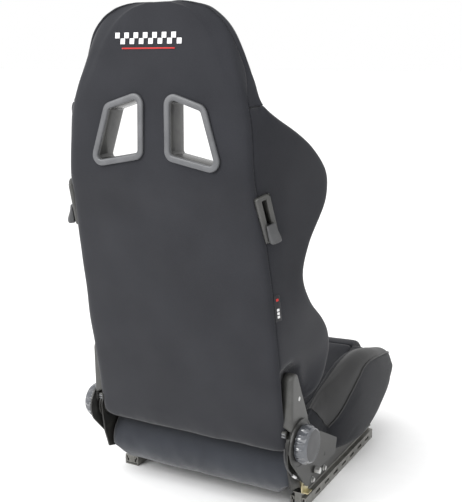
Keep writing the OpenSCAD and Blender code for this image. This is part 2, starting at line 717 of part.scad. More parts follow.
// Front and rear depth of the slot surround, and the angle at which it follows the rear panel
slot_tilt = 11;
slot_mid = [0, 32, 620];
sleeve_front = -48;
module slot_frame() {
    translate(slot_mid) rotate([slot_tilt, 0, 0]) translate([0, 0, -slot_mid[2]]) children();
}
module harness_bezels_rear() {
    color(plastic) lean_back() slot_frame() both_sides() difference() {
        union() {
            slot_prism(0, 0.5, 4);
            slot_prism(1.6, 4, 5.6);
        }
        slot_prism(rim_w, -40, 20);
    }
}
module harness_sleeves() {
    color(plastic) lean_back() slot_frame() both_sides() difference() {
        union() {
            slot_prism(rim_w - 2.6, sleeve_front, 0.4);
            slot_prism(0, sleeve_front, sleeve_front + 2.5);
        }
        slot_prism(rim_w, -80, 20);
    }
}

// ---- side release levers -----------------------------------------------------------------------------------------

// The lever plate lies on the wing's side: centre, lean and turn in the upright backrest frame
lever_at = [209, 24, 470];
lever_turn = 34;
lever_lean = [-9, -5, 0];
lever_len = 88;
lever_wid = 29;
slot_len = 74;
lever_plate_t = 8;
lever_rest = 6;
module lever_frame() {
    translate(lever_at) rotate(lever_lean) rotate([0, 0, lever_turn]) children();
}
module lever_space() {
    both_sides() lever_frame() translate([-16, -lever_wid / 2 - 0.5, -lever_len / 2 - 0.5])
        cube([40, lever_wid + 1, lever_len + 1]);
}
module lever_housing(s) {
    color(plastic) on_side(s) lean_back() lever_frame() difference() {
        union() {
            rotate([90, 0, 90]) linear_extrude(lever_plate_t) offset(r = 5)
                square([lever_wid - 10, lever_len - 10], center = true);
            translate([-13, -lever_wid / 2 + 3, -lever_len / 2 + 3]) cube([14, lever_wid - 6, lever_len - 6]);
        }
        translate([-11, -4.5, -slot_len / 2]) cube([40, 9, slot_len]);
        translate([-11, -8.5, -slot_len / 2 - 4]) cube([8, 17, slot_len + 8]);
    }
}
module release_lever(s) {
    low = -slot_len / 2 + lever_rest;
    face = lever_plate_t + 0.8;
    color(plastic) on_side(s) lean_back() lever_frame() {
        translate([-4, -3.8, low]) cube([face + 5, 7.6, 20]);
        translate([-9.5, -7.5, low]) cube([5.6, 15, 20]);
        hull() {
            translate([face, -9.5, low - 8]) cube([5, 19, 30]);
            translate([face, -10.5, low - 12]) cube([15, 21, 5]);
        }
    }
}
pawl_at = [-28, 46];
module release_pawl(s) {
    color(zinc) on_side(s) lean_back() difference() {
        side_plate(hub_plate_x, plate_t) hull() {
            translate(pawl_at) circle(r = 6, $fn = 32);
            translate([-29, 22.2]) circle(r = 2.4, $fn = 32);
        }
        translate([0, pawl_at[0], pawl_at[1]]) rod_x(hub_plate_x - 9, hub_plate_x + 9, 2.6);
    }
}

// ---- seam tag ---------------------------------------------------------------------------------------------------

tag_v = 300;
module seam_tag() {
    color(cloth) lean_back() translate([-rear_x(tag_v) - 2.4, rear_n(tag_v) - 23, tag_v - 26])
        cube([1, 11, 52]);
}

// ---- drawing ----------------------------------------------------------------------------------------------------

lower_rail_side(1);  // lower_rail_left
lower_rail_side(-1);  // lower_rail_right
rail_end_stops();
upper_rail_side(1);  // upper_rail_left
upper_rail_side(-1);  // upper_rail_right
rail_balls();
on_side(1) frame_side();  // frame_side_left
on_side(-1) frame_side();  // frame_side_right
frame_front_tube();
frame_rear_tube();
seat_springs();
cushion_center_pad();
cushion_nose();
cushion_bolster(1);  // cushion_bolster_left
cushion_bolster(-1);  // cushion_bolster_right
cushion_rear_roll();
side_bracket(1);  // side_bracket_left
side_bracket(-1);  // side_bracket_right
ring_gears();
bracket_bolts();
recliner_cover(1);  // recliner_cover_left
recliner_cover(-1);  // recliner_cover_right
cover_screws();
spiral_springs();
cable_anchor();
latch_cable();
adjust_bar();
adjust_bar_grip();
rail_latches();
latch_springs();
drive_shaft();
knob(1);  // knob_left
knob(-1);  // knob_right
knob_caps();
hub_gears();
back_frame_hoop();
back_frame_crossbars();
back_springs();
recliner_arm(1);  // recliner_arm_left
recliner_arm(-1);  // recliner_arm_right
arm_cover(1);  // arm_cover_left
arm_cover(-1);  // arm_cover_right
arm_bolts();
back_panel();
back_center_pad();
headrest_pad();
hip_bolster(1);  // hip_bolster_left
hip_bolster(-1);  // hip_bolster_right
shoulder_bolster(1);  // shoulder_bolster_left
shoulder_bolster(-1);  // shoulder_bolster_right
harness_bezels_rear();
harness_sleeves();
lever_housing(1);  // lever_housing_left
lever_housing(-1);  // lever_housing_right
release_lever(1);  // release_lever_left
release_lever(-1);  // release_lever_right
release_pawl(1);  // release_pawl_left
release_pawl(-1);  // release_pawl_right
seam_tag();
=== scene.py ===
"""Looks of the reclining sports seat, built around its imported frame. Lengths in tables are millimetres."""
import math

import bmesh
import bpy
from mathutils import Matrix, Vector, noise
from mathutils.bvhtree import BVHTree


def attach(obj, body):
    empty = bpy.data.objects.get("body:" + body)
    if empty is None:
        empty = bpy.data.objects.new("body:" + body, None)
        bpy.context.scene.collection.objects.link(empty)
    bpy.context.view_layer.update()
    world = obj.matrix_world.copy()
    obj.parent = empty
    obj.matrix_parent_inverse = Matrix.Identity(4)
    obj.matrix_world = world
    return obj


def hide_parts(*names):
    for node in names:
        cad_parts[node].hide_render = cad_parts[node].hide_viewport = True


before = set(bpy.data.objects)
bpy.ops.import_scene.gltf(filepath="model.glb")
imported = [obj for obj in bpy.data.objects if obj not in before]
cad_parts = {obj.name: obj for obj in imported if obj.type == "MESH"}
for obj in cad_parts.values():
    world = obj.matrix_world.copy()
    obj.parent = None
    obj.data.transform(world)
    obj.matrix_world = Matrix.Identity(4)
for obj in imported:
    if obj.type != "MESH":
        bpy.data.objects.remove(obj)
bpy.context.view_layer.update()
SCENE = bpy.context.scene
MM = 0.001
PIVOT_Y, PIVOT_Z = 272, 170
LEAN = math.radians(10)

# ---- the seat's own coordinates ----------------------------------------------------------------


def back(x, n, v):
    """Point of the backrest: x across, n rearwards, v up along its slope, from the recliner pivot."""
    y = PIVOT_Y + n * math.cos(LEAN) + v * math.sin(LEAN)
    z = PIVOT_Z + v * math.cos(LEAN) - n * math.sin(LEAN)
    return Vector((x, y, z)) * MM


def fixed(x, y, z):
    """Point of the seat base."""
    return Vector((x, y, z)) * MM


def pivoted(x, y, z):
    """Point of the seat base, from the recliner pivot."""
    return Vector((x, PIVOT_Y + y, PIVOT_Z + z)) * MM


def smooth(table, v, c):
    """Value of column c at station v, eased between rows as the CAD does."""
    i = 0
    while i < len(table) - 2 and v >= table[i + 1][0]:
        i += 1

    def slope(k):
        a, b = max(0, k - 1), min(len(table) - 1, k + 1)
        return (table[b][c] - table[a][c]) / (table[b][0] - table[a][0])

    h = table[i + 1][0] - table[i][0]
    s = min(1, max(0, (v - table[i][0]) / h))
    return (
        (2 * s**3 - 3 * s**2 + 1) * table[i][c] + (s**3 - 2 * s**2 + s) * h * slope(i)
        + (3 * s**2 - 2 * s**3) * table[i + 1][c] + (s**3 - s**2) * h * slope(i + 1)
    )


def steps(a, b, n):
    return [a + (b - a) * k / n for k in range(n + 1)]


# Height, rear half width, rear depth, wing tip half width, wing tip depth, front depth of the middle
BACK = [
    [-18, 216, 24, 0, 0, 0], [0, 218, 29, 219, -8, -30], [43, 218, 31, 224, -37, -50],
    [88, 216, 33, 241, -108, -58], [130, 216, 34, 248, -133, -62], [159, 216, 34, 250, -139, -64],
    [217, 216, 35, 250, -118, -64], [281, 214, 35, 246, -68, -56], [340, 213, 36, 242, -51, -46],
    [400, 210, 38, 252, -70, -34], [460, 206, 40, 266, -110, -20], [500, 203, 43.5, 268, -124, -11],
    [530, 200, 46, 266, -118, -5], [574, 197, 40.6, 255, -92, -6], [605, 195, 34.6, 240, -66, -11],
    [640, 192, 27.8, 219, -32, -18], [662, 188, 23.5, 205, -17, -23], [683, 181, 19.4, 194, -17, -28],
    [705, 170, 14.5, 185, -19, -38], [725, 158, 9, 176, -21, -54], [758, 142, -1, 163, -22, -68],
    [792, 121, -11, 146, -23, -73], [815, 98, -17, 124, -26, -70], [832, 68, -23, 95, -28, -62],
    [840, 30, -27, 58, -31, -52],
]
# y, outer half width, crest height of the cushion's bolsters
BOLSTER = [
    [-276, 218, 160], [-265, 240, 190], [-228, 256, 218], [-150, 261, 242], [-100, 260, 255], [-50, 256, 260],
    [0, 248, 251], [45, 231, 227], [75, 211, 204], [100, 205, 188], [150, 204, 164], [196, 202, 146],
]
# y, height of the cushion's middle, height of the underside of its sides
MIDDLE = [
    [-276, 168, 150], [-262, 204, 140], [-238, 224, 130], [-208, 228, 117], [-146, 208, 92], [-83, 193, 70],
    [-40, 184, 62], [0, 178, 62], [100, 166, 62], [196, 160, 62],
]
HEAD_V = 662
PANEL_T, CAVITY_T, WING_IN = 8, 20, 22
CUSHION_HALF, CUSHION_REAR, NOSE_Y, PAD_BASE = 164, 171, -195, 99

# ---- materials ---------------------------------------------------------------------------------


def nodes_of(name):
    mat = bpy.data.materials.new(name)
    mat.use_nodes = True
    tree = mat.node_tree
    shader = tree.nodes["Principled BSDF"]
    coords = tree.nodes.new("ShaderNodeTexCoord").outputs["Object"]
    return mat, tree, shader, coords


def add(tree, kind, inputs=(), **settings):
    node = tree.nodes.new(kind)
    for key, value in settings.items():
        setattr(node, key, value)
    for key, value in dict(inputs).items():
        if isinstance(value, bpy.types.NodeSocket):
            tree.links.new(value, node.inputs[key])
        else:
            node.inputs[key].default_value = value
    return node


def math_node(tree, operation, a, b=0.0):
    return add(tree, "ShaderNodeMath", {0: a, 1: b}, operation=operation).outputs[0]


def shade(tree, shader, fac, dark, light, low=0.3, high=0.7):
    """Colour between dark and light, by fac."""
    ramp = add(tree, "ShaderNodeValToRGB", {"Fac": fac})
    for stop, place, colour in zip(ramp.color_ramp.elements, (low, high), (dark, light)):
        stop.position = place
        stop.color = (*colour, 1)
    tree.links.new(ramp.outputs["Color"], shader.inputs["Base Color"])


def bumps(tree, shader, layers):
    """Stacked bumps: (height socket, depth in metres, strength)."""
    normal = None
    for height, depth, strength in layers:
        inputs = {"Height": height, "Distance": depth, "Strength": strength}
        if normal is not None:
            inputs["Normal"] = normal
        normal = add(tree, "ShaderNodeBump", inputs).outputs["Normal"]
    tree.links.new(normal, shader.inputs["Normal"])


def fabric(name, dark, light, pitch=0.0026, sheen=0.35):
    """Fine diagonal knit with flecked yarn."""
    mat, tree, shader, coords = nodes_of(name)
    xyz = add(tree, "ShaderNodeSeparateXYZ", {"Vector": coords}).outputs
    flat = math_node(tree, "ADD", xyz[0], xyz[1])
    waves = []
    for operation in ("ADD", "SUBTRACT"):
        phase = math_node(tree, "MULTIPLY", math_node(tree, operation, flat, xyz[2]), 2 * math.pi / pitch)
        waves.append(math_node(tree, "SINE", phase))
    weave = math_node(tree, "MULTIPLY", *waves)
    yarn = add(tree, "ShaderNodeTexNoise", {"Vector": coords, "Scale": 900, "Detail": 3}).outputs["Fac"]
    cloud = add(tree, "ShaderNodeTexNoise", {"Vector": coords, "Scale": 9, "Detail": 3}).outputs["Fac"]
    mix = math_node(tree, "MULTIPLY", weave, 0.16)
    mix = math_node(tree, "ADD", mix, math_node(tree, "MULTIPLY", yarn, 0.55))
    mix = math_node(tree, "ADD", mix, math_node(tree, "MULTIPLY", cloud, 0.45))
    shade(tree, shader, mix, dark, light)
    shader.inputs["Roughness"].default_value = 0.9
    shader.inputs["Specular IOR Level"].default_value = 0.2
    shader.inputs["Sheen Weight"].default_value = sheen
    shader.inputs["Sheen Roughness"].default_value = 0.45
    bumps(tree, shader, [(cloud, 0.004, 0.12), (weave, 0.0003, 0.5), (yarn, 0.0002, 0.35)])
    return mat


def leather(name, dark, light):
    """Fine-grained leatherette with a satin gloss."""
    mat, tree, shader, coords = nodes_of(name)
    grain = add(tree, "ShaderNodeTexVoronoi", {"Vector": coords, "Scale": 620}).outputs["Distance"]
    cloud = add(tree, "ShaderNodeTexNoise", {"Vector": coords, "Scale": 24, "Detail": 4}).outputs["Fac"]
    shade(tree, shader, cloud, dark, light, 0.35, 0.65)
    gloss = add(tree, "ShaderNodeMapRange", {"Value": cloud, "To Min": 0.42, "To Max": 0.55})
    tree.links.new(gloss.outputs["Result"], shader.inputs["Roughness"])
    bumps(tree, shader, [(cloud, 0.004, 0.15), (grain, 0.0003, 0.5)])
    return mat


def plastic(name, dark, light, rough=(0.4, 0.55), grain=0.00012, coat=0.0):
    """Moulded plastic with a fine spark-eroded grain and slight handling wear."""
    mat, tree, shader, coords = nodes_of(name)
    fine = add(tree, "ShaderNodeTexNoise", {"Vector": coords, "Scale": 1400, "Detail": 2}).outputs["Fac"]
    cloud = add(tree, "ShaderNodeTexNoise", {"Vector": coords, "Scale": 35, "Detail": 4}).outputs["Fac"]
    shade(tree, shader, cloud, dark, light, 0.35, 0.65)
    gloss = add(tree, "ShaderNodeMapRange", {"Value": cloud, "To Min": rough[0], "To Max": rough[1]})
    tree.links.new(gloss.outputs["Result"], shader.inputs["Roughness"])
    shader.inputs["Coat Weight"].default_value = coat
    shader.inputs["Coat Roughness"].default_value = 0.12
    bumps(tree, shader, [(fine, grain, 0.5)])
    return mat


def metal(name, dark, light, rough=(0.28, 0.45), metallic=1.0):
    """Plated or coated steel with brushed variation in its gloss."""
    mat, tree, shader, coords = nodes_of(name)
    stretch = add(tree, "ShaderNodeMapping", {"Vector": coords, "Scale": (900, 60, 900)}).outputs["Vector"]
    lines = add(tree, "ShaderNodeTexNoise", {"Vector": stretch, "Scale": 1, "Detail": 3}).outputs["Fac"]
    cloud = add(tree, "ShaderNodeTexNoise", {"Vector": coords, "Scale": 40, "Detail": 4}).outputs["Fac"]
    shade(tree, shader, cloud, dark, light, 0.35, 0.65)
    mix = math_node(tree, "ADD", math_node(tree, "MULTIPLY", lines, 0.25),
                    math_node(tree, "MULTIPLY", cloud, 0.75))
    gloss = add(tree, "ShaderNodeMapRange", {"Value": mix, "To Min": rough[0], "To Max": rough[1]})
    tree.links.new(gloss.outputs["Result"], shader.inputs["Roughness"])
    shader.inputs["Metallic"].default_value = metallic
    bumps(tree, shader, [(lines, 0.0001, 0.2)])
    return mat


KNIT = fabric("knit charcoal", (0.012, 0.0125, 0.0155), (0.024, 0.025, 0.030), sheen=0.2)
KNIT_ROLL = fabric("knit roll", (0.022, 0.024, 0.030), (0.038, 0.042, 0.050))
# Darker copy of the charcoal knit for the cushion bolsters' covers: painted shade, not a different cloth
KNIT_BOLSTER_SHADE = fabric("knit bolster painted shade", (0.009, 0.0095, 0.0115), (0.0175, 0.0185, 0.0225), sheen=0.14)
LEATHER = leather("leatherette", (0.008, 0.008, 0.0085), (0.014, 0.014, 0.0145))
THREAD = fabric("thread charcoal", (0.018, 0.018, 0.02), (0.035, 0.036, 0.04), pitch=0.0012, sheen=0.15)
THREAD_WHITE = fabric("thread white", (0.62, 0.62, 0.62), (0.85, 0.85, 0.85), pitch=0.0012, sheen=0.2)
THREAD_RED = fabric("thread red", (0.42, 0.02, 0.02), (0.62, 0.04, 0.035), pitch=0.0012, sheen=0.2)
TAG_CLOTH = fabric("woven tag", (0.012, 0.012, 0.014), (0.03, 0.03, 0.034), pitch=0.0014)
BEZEL = plastic("bezel plastic", (0.072, 0.074, 0.079), (0.094, 0.096, 0.102), rough=(0.36, 0.48))
SLEEVE = plastic("sleeve plastic", (0.05, 0.05, 0.05), (0.075, 0.075, 0.072), rough=(0.18, 0.28))
# One cover plastic in two tones set to the light: COVER is the lighter copy, painted light, for the arm
# covers and lever surrounds; the recliner covers' copy below is darker, painted shade
COVER = plastic("cover plastic", (0.040, 0.040, 0.038), (0.056, 0.056, 0.053), rough=(0.38, 0.5))
COVER_SHADED_COPY = plastic("recliner cover plastic painted shade", (0.024, 0.024, 0.023), (0.034, 0.034, 0.032),
                      rough=(0.4, 0.52))
KNOB = plastic("knob plastic", (0.055, 0.058, 0.066), (0.075, 0.08, 0.09), rough=(0.14, 0.24), grain=0.00004,
               coat=0.8)
CAP = plastic("knob cap plastic", (0.050, 0.051, 0.053), (0.066, 0.067, 0.070), rough=(0.5, 0.62))
BLACK_PLASTIC = plastic("black plastic", (0.012, 0.012, 0.013), (0.022, 0.022, 0.023))
BLACK_STEEL = metal("black steel", (0.018, 0.018, 0.017), (0.035, 0.034, 0.031), (0.34, 0.5), 0.35)
RAIL_STEEL = metal("rail steel", (0.15, 0.147, 0.135), (0.24, 0.236, 0.22), (0.3, 0.46), 0.6)
ZINC = metal("zinc plate", (0.5, 0.5, 0.5), (0.68, 0.68, 0.66))
YELLOW = metal("yellow zinc", (0.46, 0.40, 0.24), (0.62, 0.57, 0.38), (0.3, 0.5))
SHEATH = plastic("cable sheath", (0.02, 0.02, 0.021), (0.035, 0.035, 0.036), rough=(0.3, 0.42))

# ---- mesh helpers ------------------------------------------------------------------------------


def link(name, verts, faces, mats):
    mesh = bpy.data.meshes.new(name)
    mesh.from_pydata([tuple(v) for v in verts], [], faces)
    mesh.validate()
    obj = bpy.data.objects.new(name, mesh)
    SCENE.collection.objects.link(obj)
    for mat in mats if isinstance(mats, (list, tuple)) else [mats]:
        mesh.materials.append(mat)
    bpy.context.view_layer.objects.active = obj
    for poly in mesh.polygons:
        poly.use_smooth = True
    fix_normals(mesh)
    return obj


def fix_normals(mesh):
    bm = bmesh.new()
    bm.from_mesh(mesh)
    bmesh.ops.recalc_face_normals(bm, faces=bm.faces)
    bm.to_mesh(mesh)
    bm.free()


def band_faces(bands, rings, n):
    """Quads between neighbouring rings of n points; as many bands as rings close on the first ring."""
    return [(k * n + i, k * n + (i + 1) % n, (k + 1) % rings * n + (i + 1) % n, (k + 1) % rings * n + i)
            for k in range(bands) for i in range(n)]


def closed_rings(name, rings, mats):
    """Mesh through rings whose last joins the first."""
    count = len(rings)
    return link(name, [p for r in rings for p in r], band_faces(count, count, len(rings[0])), mats)


def run(points, count):
    """count evenly spaced points along a smooth line through points, without its last point."""
    pts = [Vector(p) for p in points]
    dense = []
    for i in range(len(pts) - 1):
        a, b, c, d = pts[max(i - 1, 0)], pts[i], pts[i + 1], pts[min(i + 2, len(pts) - 1)]
        for k in range(10):
            t = k / 10
            dense.append(0.5 * ((2 * b) + (c - a) * t + (2 * a - 5 * b + 4 * c - d) * t * t
                                + (3 * b - a - 3 * c + d) * t**3))
    dense.append(pts[-1])
    total = sum((q - p).length for p, q in zip(dense, dense[1:]))
    out, along, i = [], 0.0, 0
    for k in range(count):
        goal = total * k / count
        while along + (dense[i + 1] - dense[i]).length < goal:
            along += (dense[i + 1] - dense[i]).length
            i += 1
        span = (dense[i + 1] - dense[i]).length or 1
        out.append(dense[i].lerp(dense[i + 1], (goal - along) / span))
    return out


def section(*runs):
    """Closed ring from (points, count) runs; each run starts at a corner."""
    ring, corners = [], []
    for points, count in runs:
        corners.append(len(ring))
        ring += run(points, count)
    return ring, corners


def loft(name, rings, mats, shrink=(0.93, 0.7, 0.35), bulge=0.0):
    """Closed mesh through rings of Vectors. Its ends close in shrinking rings that bulge outwards."""
    n = len(rings[0])
    rings = [list(r) for r in rings]
    for end in (0, -1):
        edge = rings[end]
        centre = sum(edge, Vector()) / n
        inward = sum(rings[1 if end == 0 else -2], Vector()) / n
        out = (centre - inward).normalized() * bulge
        for s in shrink:
            ring = [centre + (p - centre) * s + out * math.sqrt(1 - s * s) for p in edge]
            rings.insert(0, ring) if end == 0 else rings.append(ring)
    faces = band_faces(len(rings) - 1, len(rings), n)
    faces.append(tuple(range(n)))
    faces.append(tuple((len(rings) - 1) * n + i for i in reversed(range(n))))
    obj = link(name, [p for r in rings for p in r], faces, mats)
    obj["first"] = len(shrink)
    obj["n"] = n
    return obj


def tube(name, path, radius, mats, sides=8):
    """Tube along a path of Vectors."""
    rings, side = [], None
    for i, p in enumerate(path):
        along = (path[min(i + 1, len(path) - 1)] - path[max(i - 1, 0)]).normalized()
        if side is None:
            side = along.orthogonal().normalized()
        side = (side - along * side.dot(along)).normalized()
        up = along.cross(side)
        rings.append([p + radius * (math.cos(t) * side + math.sin(t) * up)
                      for t in (2 * math.pi * k / sides for k in range(sides))])
    return loft(name, rings, mats, shrink=(0.7,), bulge=radius * 0.5)


def boxy(name, centre, size, mats, place_point, corner=1.5):
    """Box with rounded edges; place_point maps its own coordinates to the world."""
    hx, hy, hz = (s / 2 for s in size)
    ring = []
    for sx, sy, start in ((1, 1, 0), (-1, 1, 90), (-1, -1, 180), (1, -1, 270)):
        for k in range(4):
            a = math.radians(start + 30 * k)
            x, y = sx * (hx - corner), sy * (hy - corner)
            ring.append((x + corner * math.cos(a), y + corner * math.sin(a)))
    rings = []
    for z, grow in ((-hz, -corner), (-hz + corner * 0.3, -corner * 0.3), (-hz + corner, 0), (hz - corner, 0),
                    (hz - corner * 0.3, -corner * 0.3), (hz, -corner)):
        fx, fy = (hx + grow) / hx, (hy + grow) / hy
        rings.append([place_point(centre[0] + x * fx, centre[1] + y * fy, centre[2] + z) for x, y in ring])
    return loft(name, rings, mats, shrink=(0.5,))


def join(name, objs):
    bpy.ops.object.select_all(action="DESELECT")
    for o in objs:
        o.select_set(True)
    bpy.context.view_layer.objects.active = objs[0]
    bpy.ops.object.join()
    objs[0].name = name
    return objs[0]


def mirrored(point, side):
    return Vector((point.x * side, point.y, point.z))


def bake(obj):
    """Applies obj's modifiers."""
    deps = bpy.context.evaluated_depsgraph_get()
    mesh = bpy.data.meshes.new_from_object(obj.evaluated_get(deps))
    obj.modifiers.clear()
    obj.data = mesh


def puff(obj, cap, pins):
    """Blows a closed cover up as foam does, pinned at its seams, no point moving beyond cap."""
    start = [v.co.copy() for v in obj.data.vertices]
    mod = obj.modifiers.new("Cloth", "CLOTH")
    mod.settings.quality = 4
    mod.settings.mass = 0.3
    mod.settings.tension_stiffness = mod.settings.compression_stiffness = 12
    mod.settings.shear_stiffness = 5
    mod.settings.bending_stiffness = 0.6
    mod.settings.use_pressure = True
    mod.settings.uniform_pressure_force = 4
    mod.settings.effector_weights.gravity = 0
    group = obj.vertex_groups.new(name="pin")
    group.add(pins, 1.0, "REPLACE")
    mod.settings.vertex_group_mass = "pin"
    for f in range(1, 17):
        SCENE.frame_set(f)
    deps = bpy.context.evaluated_depsgraph_get()
    moved = [v.co.copy() for v in obj.evaluated_get(deps).data.vertices]
    obj.modifiers.clear()
    for v, a, b in zip(obj.data.vertices, start, moved):
        step = b - a
        if step.length > cap:
            step *= cap / step.length
        v.co = a + step
    SCENE.frame_set(1)


def soften(obj):
    mod = obj.modifiers.new("Subdivision", "SUBSURF")
    mod.levels = mod.render_levels = 1


def ripple(obj, depth, scale, keep=lambda p: 1.0):
    """Shallow irregular waves, as cloth over foam has."""
    normals = [v.normal.copy() for v in obj.data.vertices]
    for v, normal in zip(obj.data.vertices, normals):
        v.co += normal * depth * noise.noise(v.co * scale) * keep(v.co)


def skin_of(obj):
    """Searchable surface of a finished cover."""
    faces = [list(p.vertices) for p in obj.data.polygons]
    return BVHTree.FromPolygons([v.co.copy() for v in obj.data.vertices], faces)


def on_skin(skin, point, lift):
    """The nearest place on a cover, lifted off it by some millimetres away from the backrest's middle."""
    at, normal, _, _ = skin.find_nearest(point)
    middle = back(0, -30, 400)
    if normal.dot(at - Vector((middle.x, middle.y, at.z))) < 0:
        normal = -normal
    return at + normal * lift * MM


def place(obj, body, slot_name, *nodes, padded=None):
    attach(obj, body)
    if nodes:
        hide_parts(*nodes)
    return obj


def pinned(obj, rows, columns, far_end=True):
    """Vertices of some columns along all rows, and those of the closed ends."""
    n, first = obj["n"], obj["first"]
    pins = [(first + k) * n + c for k in range(rows) for c in columns] + list(range((first + 1) * n))
    if far_end:
        pins += range((first + rows - 1) * n, len(obj.data.vertices))
    return pins


def seam_points(obj, rings, column, lift):
    pts = []
    for k in rings:
        v = obj.data.vertices[(obj["first"] + k) * obj["n"] + column]
        pts.append(v.co + v.normal * lift)
    return pts


# ---- harness openings --------------------------------------------------------------------------

SLOT_CORNERS = [(22, 695), (23, 570), (145, 547), (107, 668)]
SLOT_R = 20
SLOT_TILT = math.radians(11)
SLOT_N, SLOT_V = 32, 620
SLEEVE_FRONT = -48


def slot_point(x, n, v):
    """Point of the harness opening's own plane."""
    dv = v - SLOT_V
    return back(x, SLOT_N + n * math.cos(SLOT_TILT) - dv * math.sin(SLOT_TILT),
                SLOT_V + n * math.sin(SLOT_TILT) + dv * math.cos(SLOT_TILT))


def slot_outline(inset, arc=8, edge=10):
    """The opening's outline, inset from its outer edge, with rounded corners."""
    pts = [Vector(p) for p in SLOT_CORNERS]
    lines = []
    for a, b in zip(pts, pts[1:] + pts[:1]):
        d = (b - a).normalized()
        lines.append((a + Vector((-d.y, d.x)) * SLOT_R, d))
    out, corners = [], []
    for k in range(4):
        (p, d), (q, e) = lines[k - 1], lines[k]
        cross = d.x * e.y - d.y * e.x
        t = ((q.x - p.x) * e.y - (q.y - p.y) * e.x) / cross
        corners.append((p + d * t, d, e))
    for c, d, e in corners:
        start = math.atan2(-d.x, d.y)
        turn = (math.atan2(-e.x, e.y) - start) % (2 * math.pi)
        angles = [start + turn * k / arc for k in range(arc + 1)]
        out.append([c + (SLOT_R - inset) * Vector((math.cos(a), math.sin(a))) for a in angles])
    ring = []
    for a, b in zip(out, out[1:] + out[:1]):
        ring += a
        ring += [a[-1].lerp(b[0], k / edge) for k in range(1, edge)]
    return ring


def slot_ring(name, profile, mats):
    """Rings round both openings, from a closed profile of (inset, depth)."""
    sides = []
    for side in (1, -1):
        rings = [[mirrored(slot_point(p.x, n, p.y), side) for p in slot_outline(inset)]
                 for inset, n in profile]
        sides.append(closed_rings(name, rings, mats))
    return join(name, sides)


def cutter(inset, n0, n1):
    cutters = []
    for side in (1, -1):
        outline = slot_outline(inset)
        rings = [[mirrored(slot_point(p.x, n, p.y), side) for p in outline] for n in (n0, n1)]
        n = len(outline)
        faces = band_faces(1, 2, n) + [tuple(range(n)), tuple(reversed(range(n, 2 * n)))]
        cutters.append(link("cutter", rings[0] + rings[1], faces, BEZEL))
    return join("cutter", cutters)


def cut(obj, tool):
    mod = obj.modifiers.new("Boolean", "BOOLEAN")
    mod.operation, mod.solver, mod.object = "DIFFERENCE", "EXACT", tool
    bake(obj)


slot_cutter = cutter(9.0, -120, 40)
pocket_cutter = cutter(-1.2, -120, SLEEVE_FRONT + 2.7)

place(slot_ring("harness_bezels", [
    (0, 0.5), (0, 3.2), (0.4, 4.5), (1.4, 5.3), (3, 5.6),
    (8.8, 5.7), (10.7, 5.3), (11.7, 4.3), (12, 2.6), (12, 0.5),
], BEZEL), "backrest", "moulded_plastic", "harness_bezels_rear")
place(slot_ring("harness_tunnels", [
    (9.6, 0.3), (12, 0.3), (12.4, -5), (13.4, -7), (13.8, -40), (12.6, -44),
    (10.5, -46.6), (7.5, -48), (2, -48), (0.4, -47.4), (0.4, -45.7), (9.6, -45.4),
], SLEEVE), "backrest", "moulded_plastic", "harness_sleeves")

# ---- backrest padding --------------------------------------------------------------------------


def rear_x(v):
    return smooth(BACK, v, 1)


def rear_n(v):
    return smooth(BACK, v, 2)


def ease(v, low, high):
    s = min(1, max(0, (v - low) / (high - low)))
    return s * s * (3 - 2 * s)


def seam_corner(x, n, v):
    """How far the rear cover's side seam is round the corner at height v, its edge and its inner edge."""
    s = ease(v, HEAD_V, 730)
    tip = Vector((smooth(BACK, v, 3), smooth(BACK, v, 4)))
    edge = Vector((x, n - 7.0)).lerp(tip, 0.7 * s)
    return s, edge, Vector((x, n - PANEL_T)).lerp(edge - Vector((3, 3)), s)


# Rear cover: crowned across, rounded towards its sewn side edges, its lower corners rounded
def panel_ring(v, low):
    x = rear_x(v) - 0.9
    if low < 16:
        x -= 16 * (1 - math.sqrt(1 - ((16 - low) / 16) ** 2)) if low > 0 else 16
    n = rear_n(v)
    tuck = 4.5 * (1 - min(1, low / 10)) ** 2
    s, edge, inner = seam_corner(x, n - tuck * 0.4, v)
    t = smooth(BACK, v, 3)
    knee = Vector((x - 2.6, n - 3.4 - tuck)).lerp(Vector((x + (t - x) * 0.35, n - 6)), s)
    rear = [tuple(edge), tuple(knee), (x - 12, n - 0.4 - 1.4 * s - tuck), (x * 0.8, n + 0.5 - tuck),
            (x * 0.4, n + 0.7 - tuck), (0, n + 0.8 - tuck)]
    rear += [(-a, b) for a, b in reversed(rear[:-1])]
    front = [tuple(inner)] + [(a, n - PANEL_T - 1.4 * s) for a in (x - 12, x - min(34, x * 0.4), x * 0.4)]
    front = [(-a, b) for a, b in front] + front[::-1]
    ring, _ = section(([rear[-1], front[0]], 2), (front, 40), ([front[-1], rear[0]], 2), (rear, 64))
    return [back(p.x, p.y, v) for p in ring]


def panel_levels():
    return [-18, -15, -11, -6, 0] + steps(8, 800, 84) + [806, 812, 818, 824, 829, 833, 836.5, 839]


panel = loft("back_cover", [panel_ring(v, v + 18) for v in panel_levels()], KNIT, shrink=(0.97,))
ripple(panel, 0.0016, 14, lambda p: 1.0 if p.z > 0.2 else 1.8)
ripple(panel, 0.0012, 60, lambda p: max(0.0, 1 - (p.z - 0.15) / 0.05))
soften(panel)
cut(panel, slot_cutter)
place(panel, "backrest", "knit_fabric", "back_panel", padded=0.5)
panel_skin = skin_of(panel)

HARDWARE = [(-59, -20), (60, -20), (60, 158), (-7, 158), (-23, 144), (-57, 37)]


def hardware_room(n, v):
    """Furthest that a side may stand out at n, v beside the recliner."""
    out = -1e9
    for (ax, ay), (bx, by) in zip(HARDWARE, HARDWARE[1:] + HARDWARE[:1]):
        length = math.hypot(bx - ax, by - ay)
        out = max(out, ((n - ax) * (by - ay) - (v - ay) * (bx - ax)) / length)
    return 207.5 + 1.3 * max(0.0, out - 1)


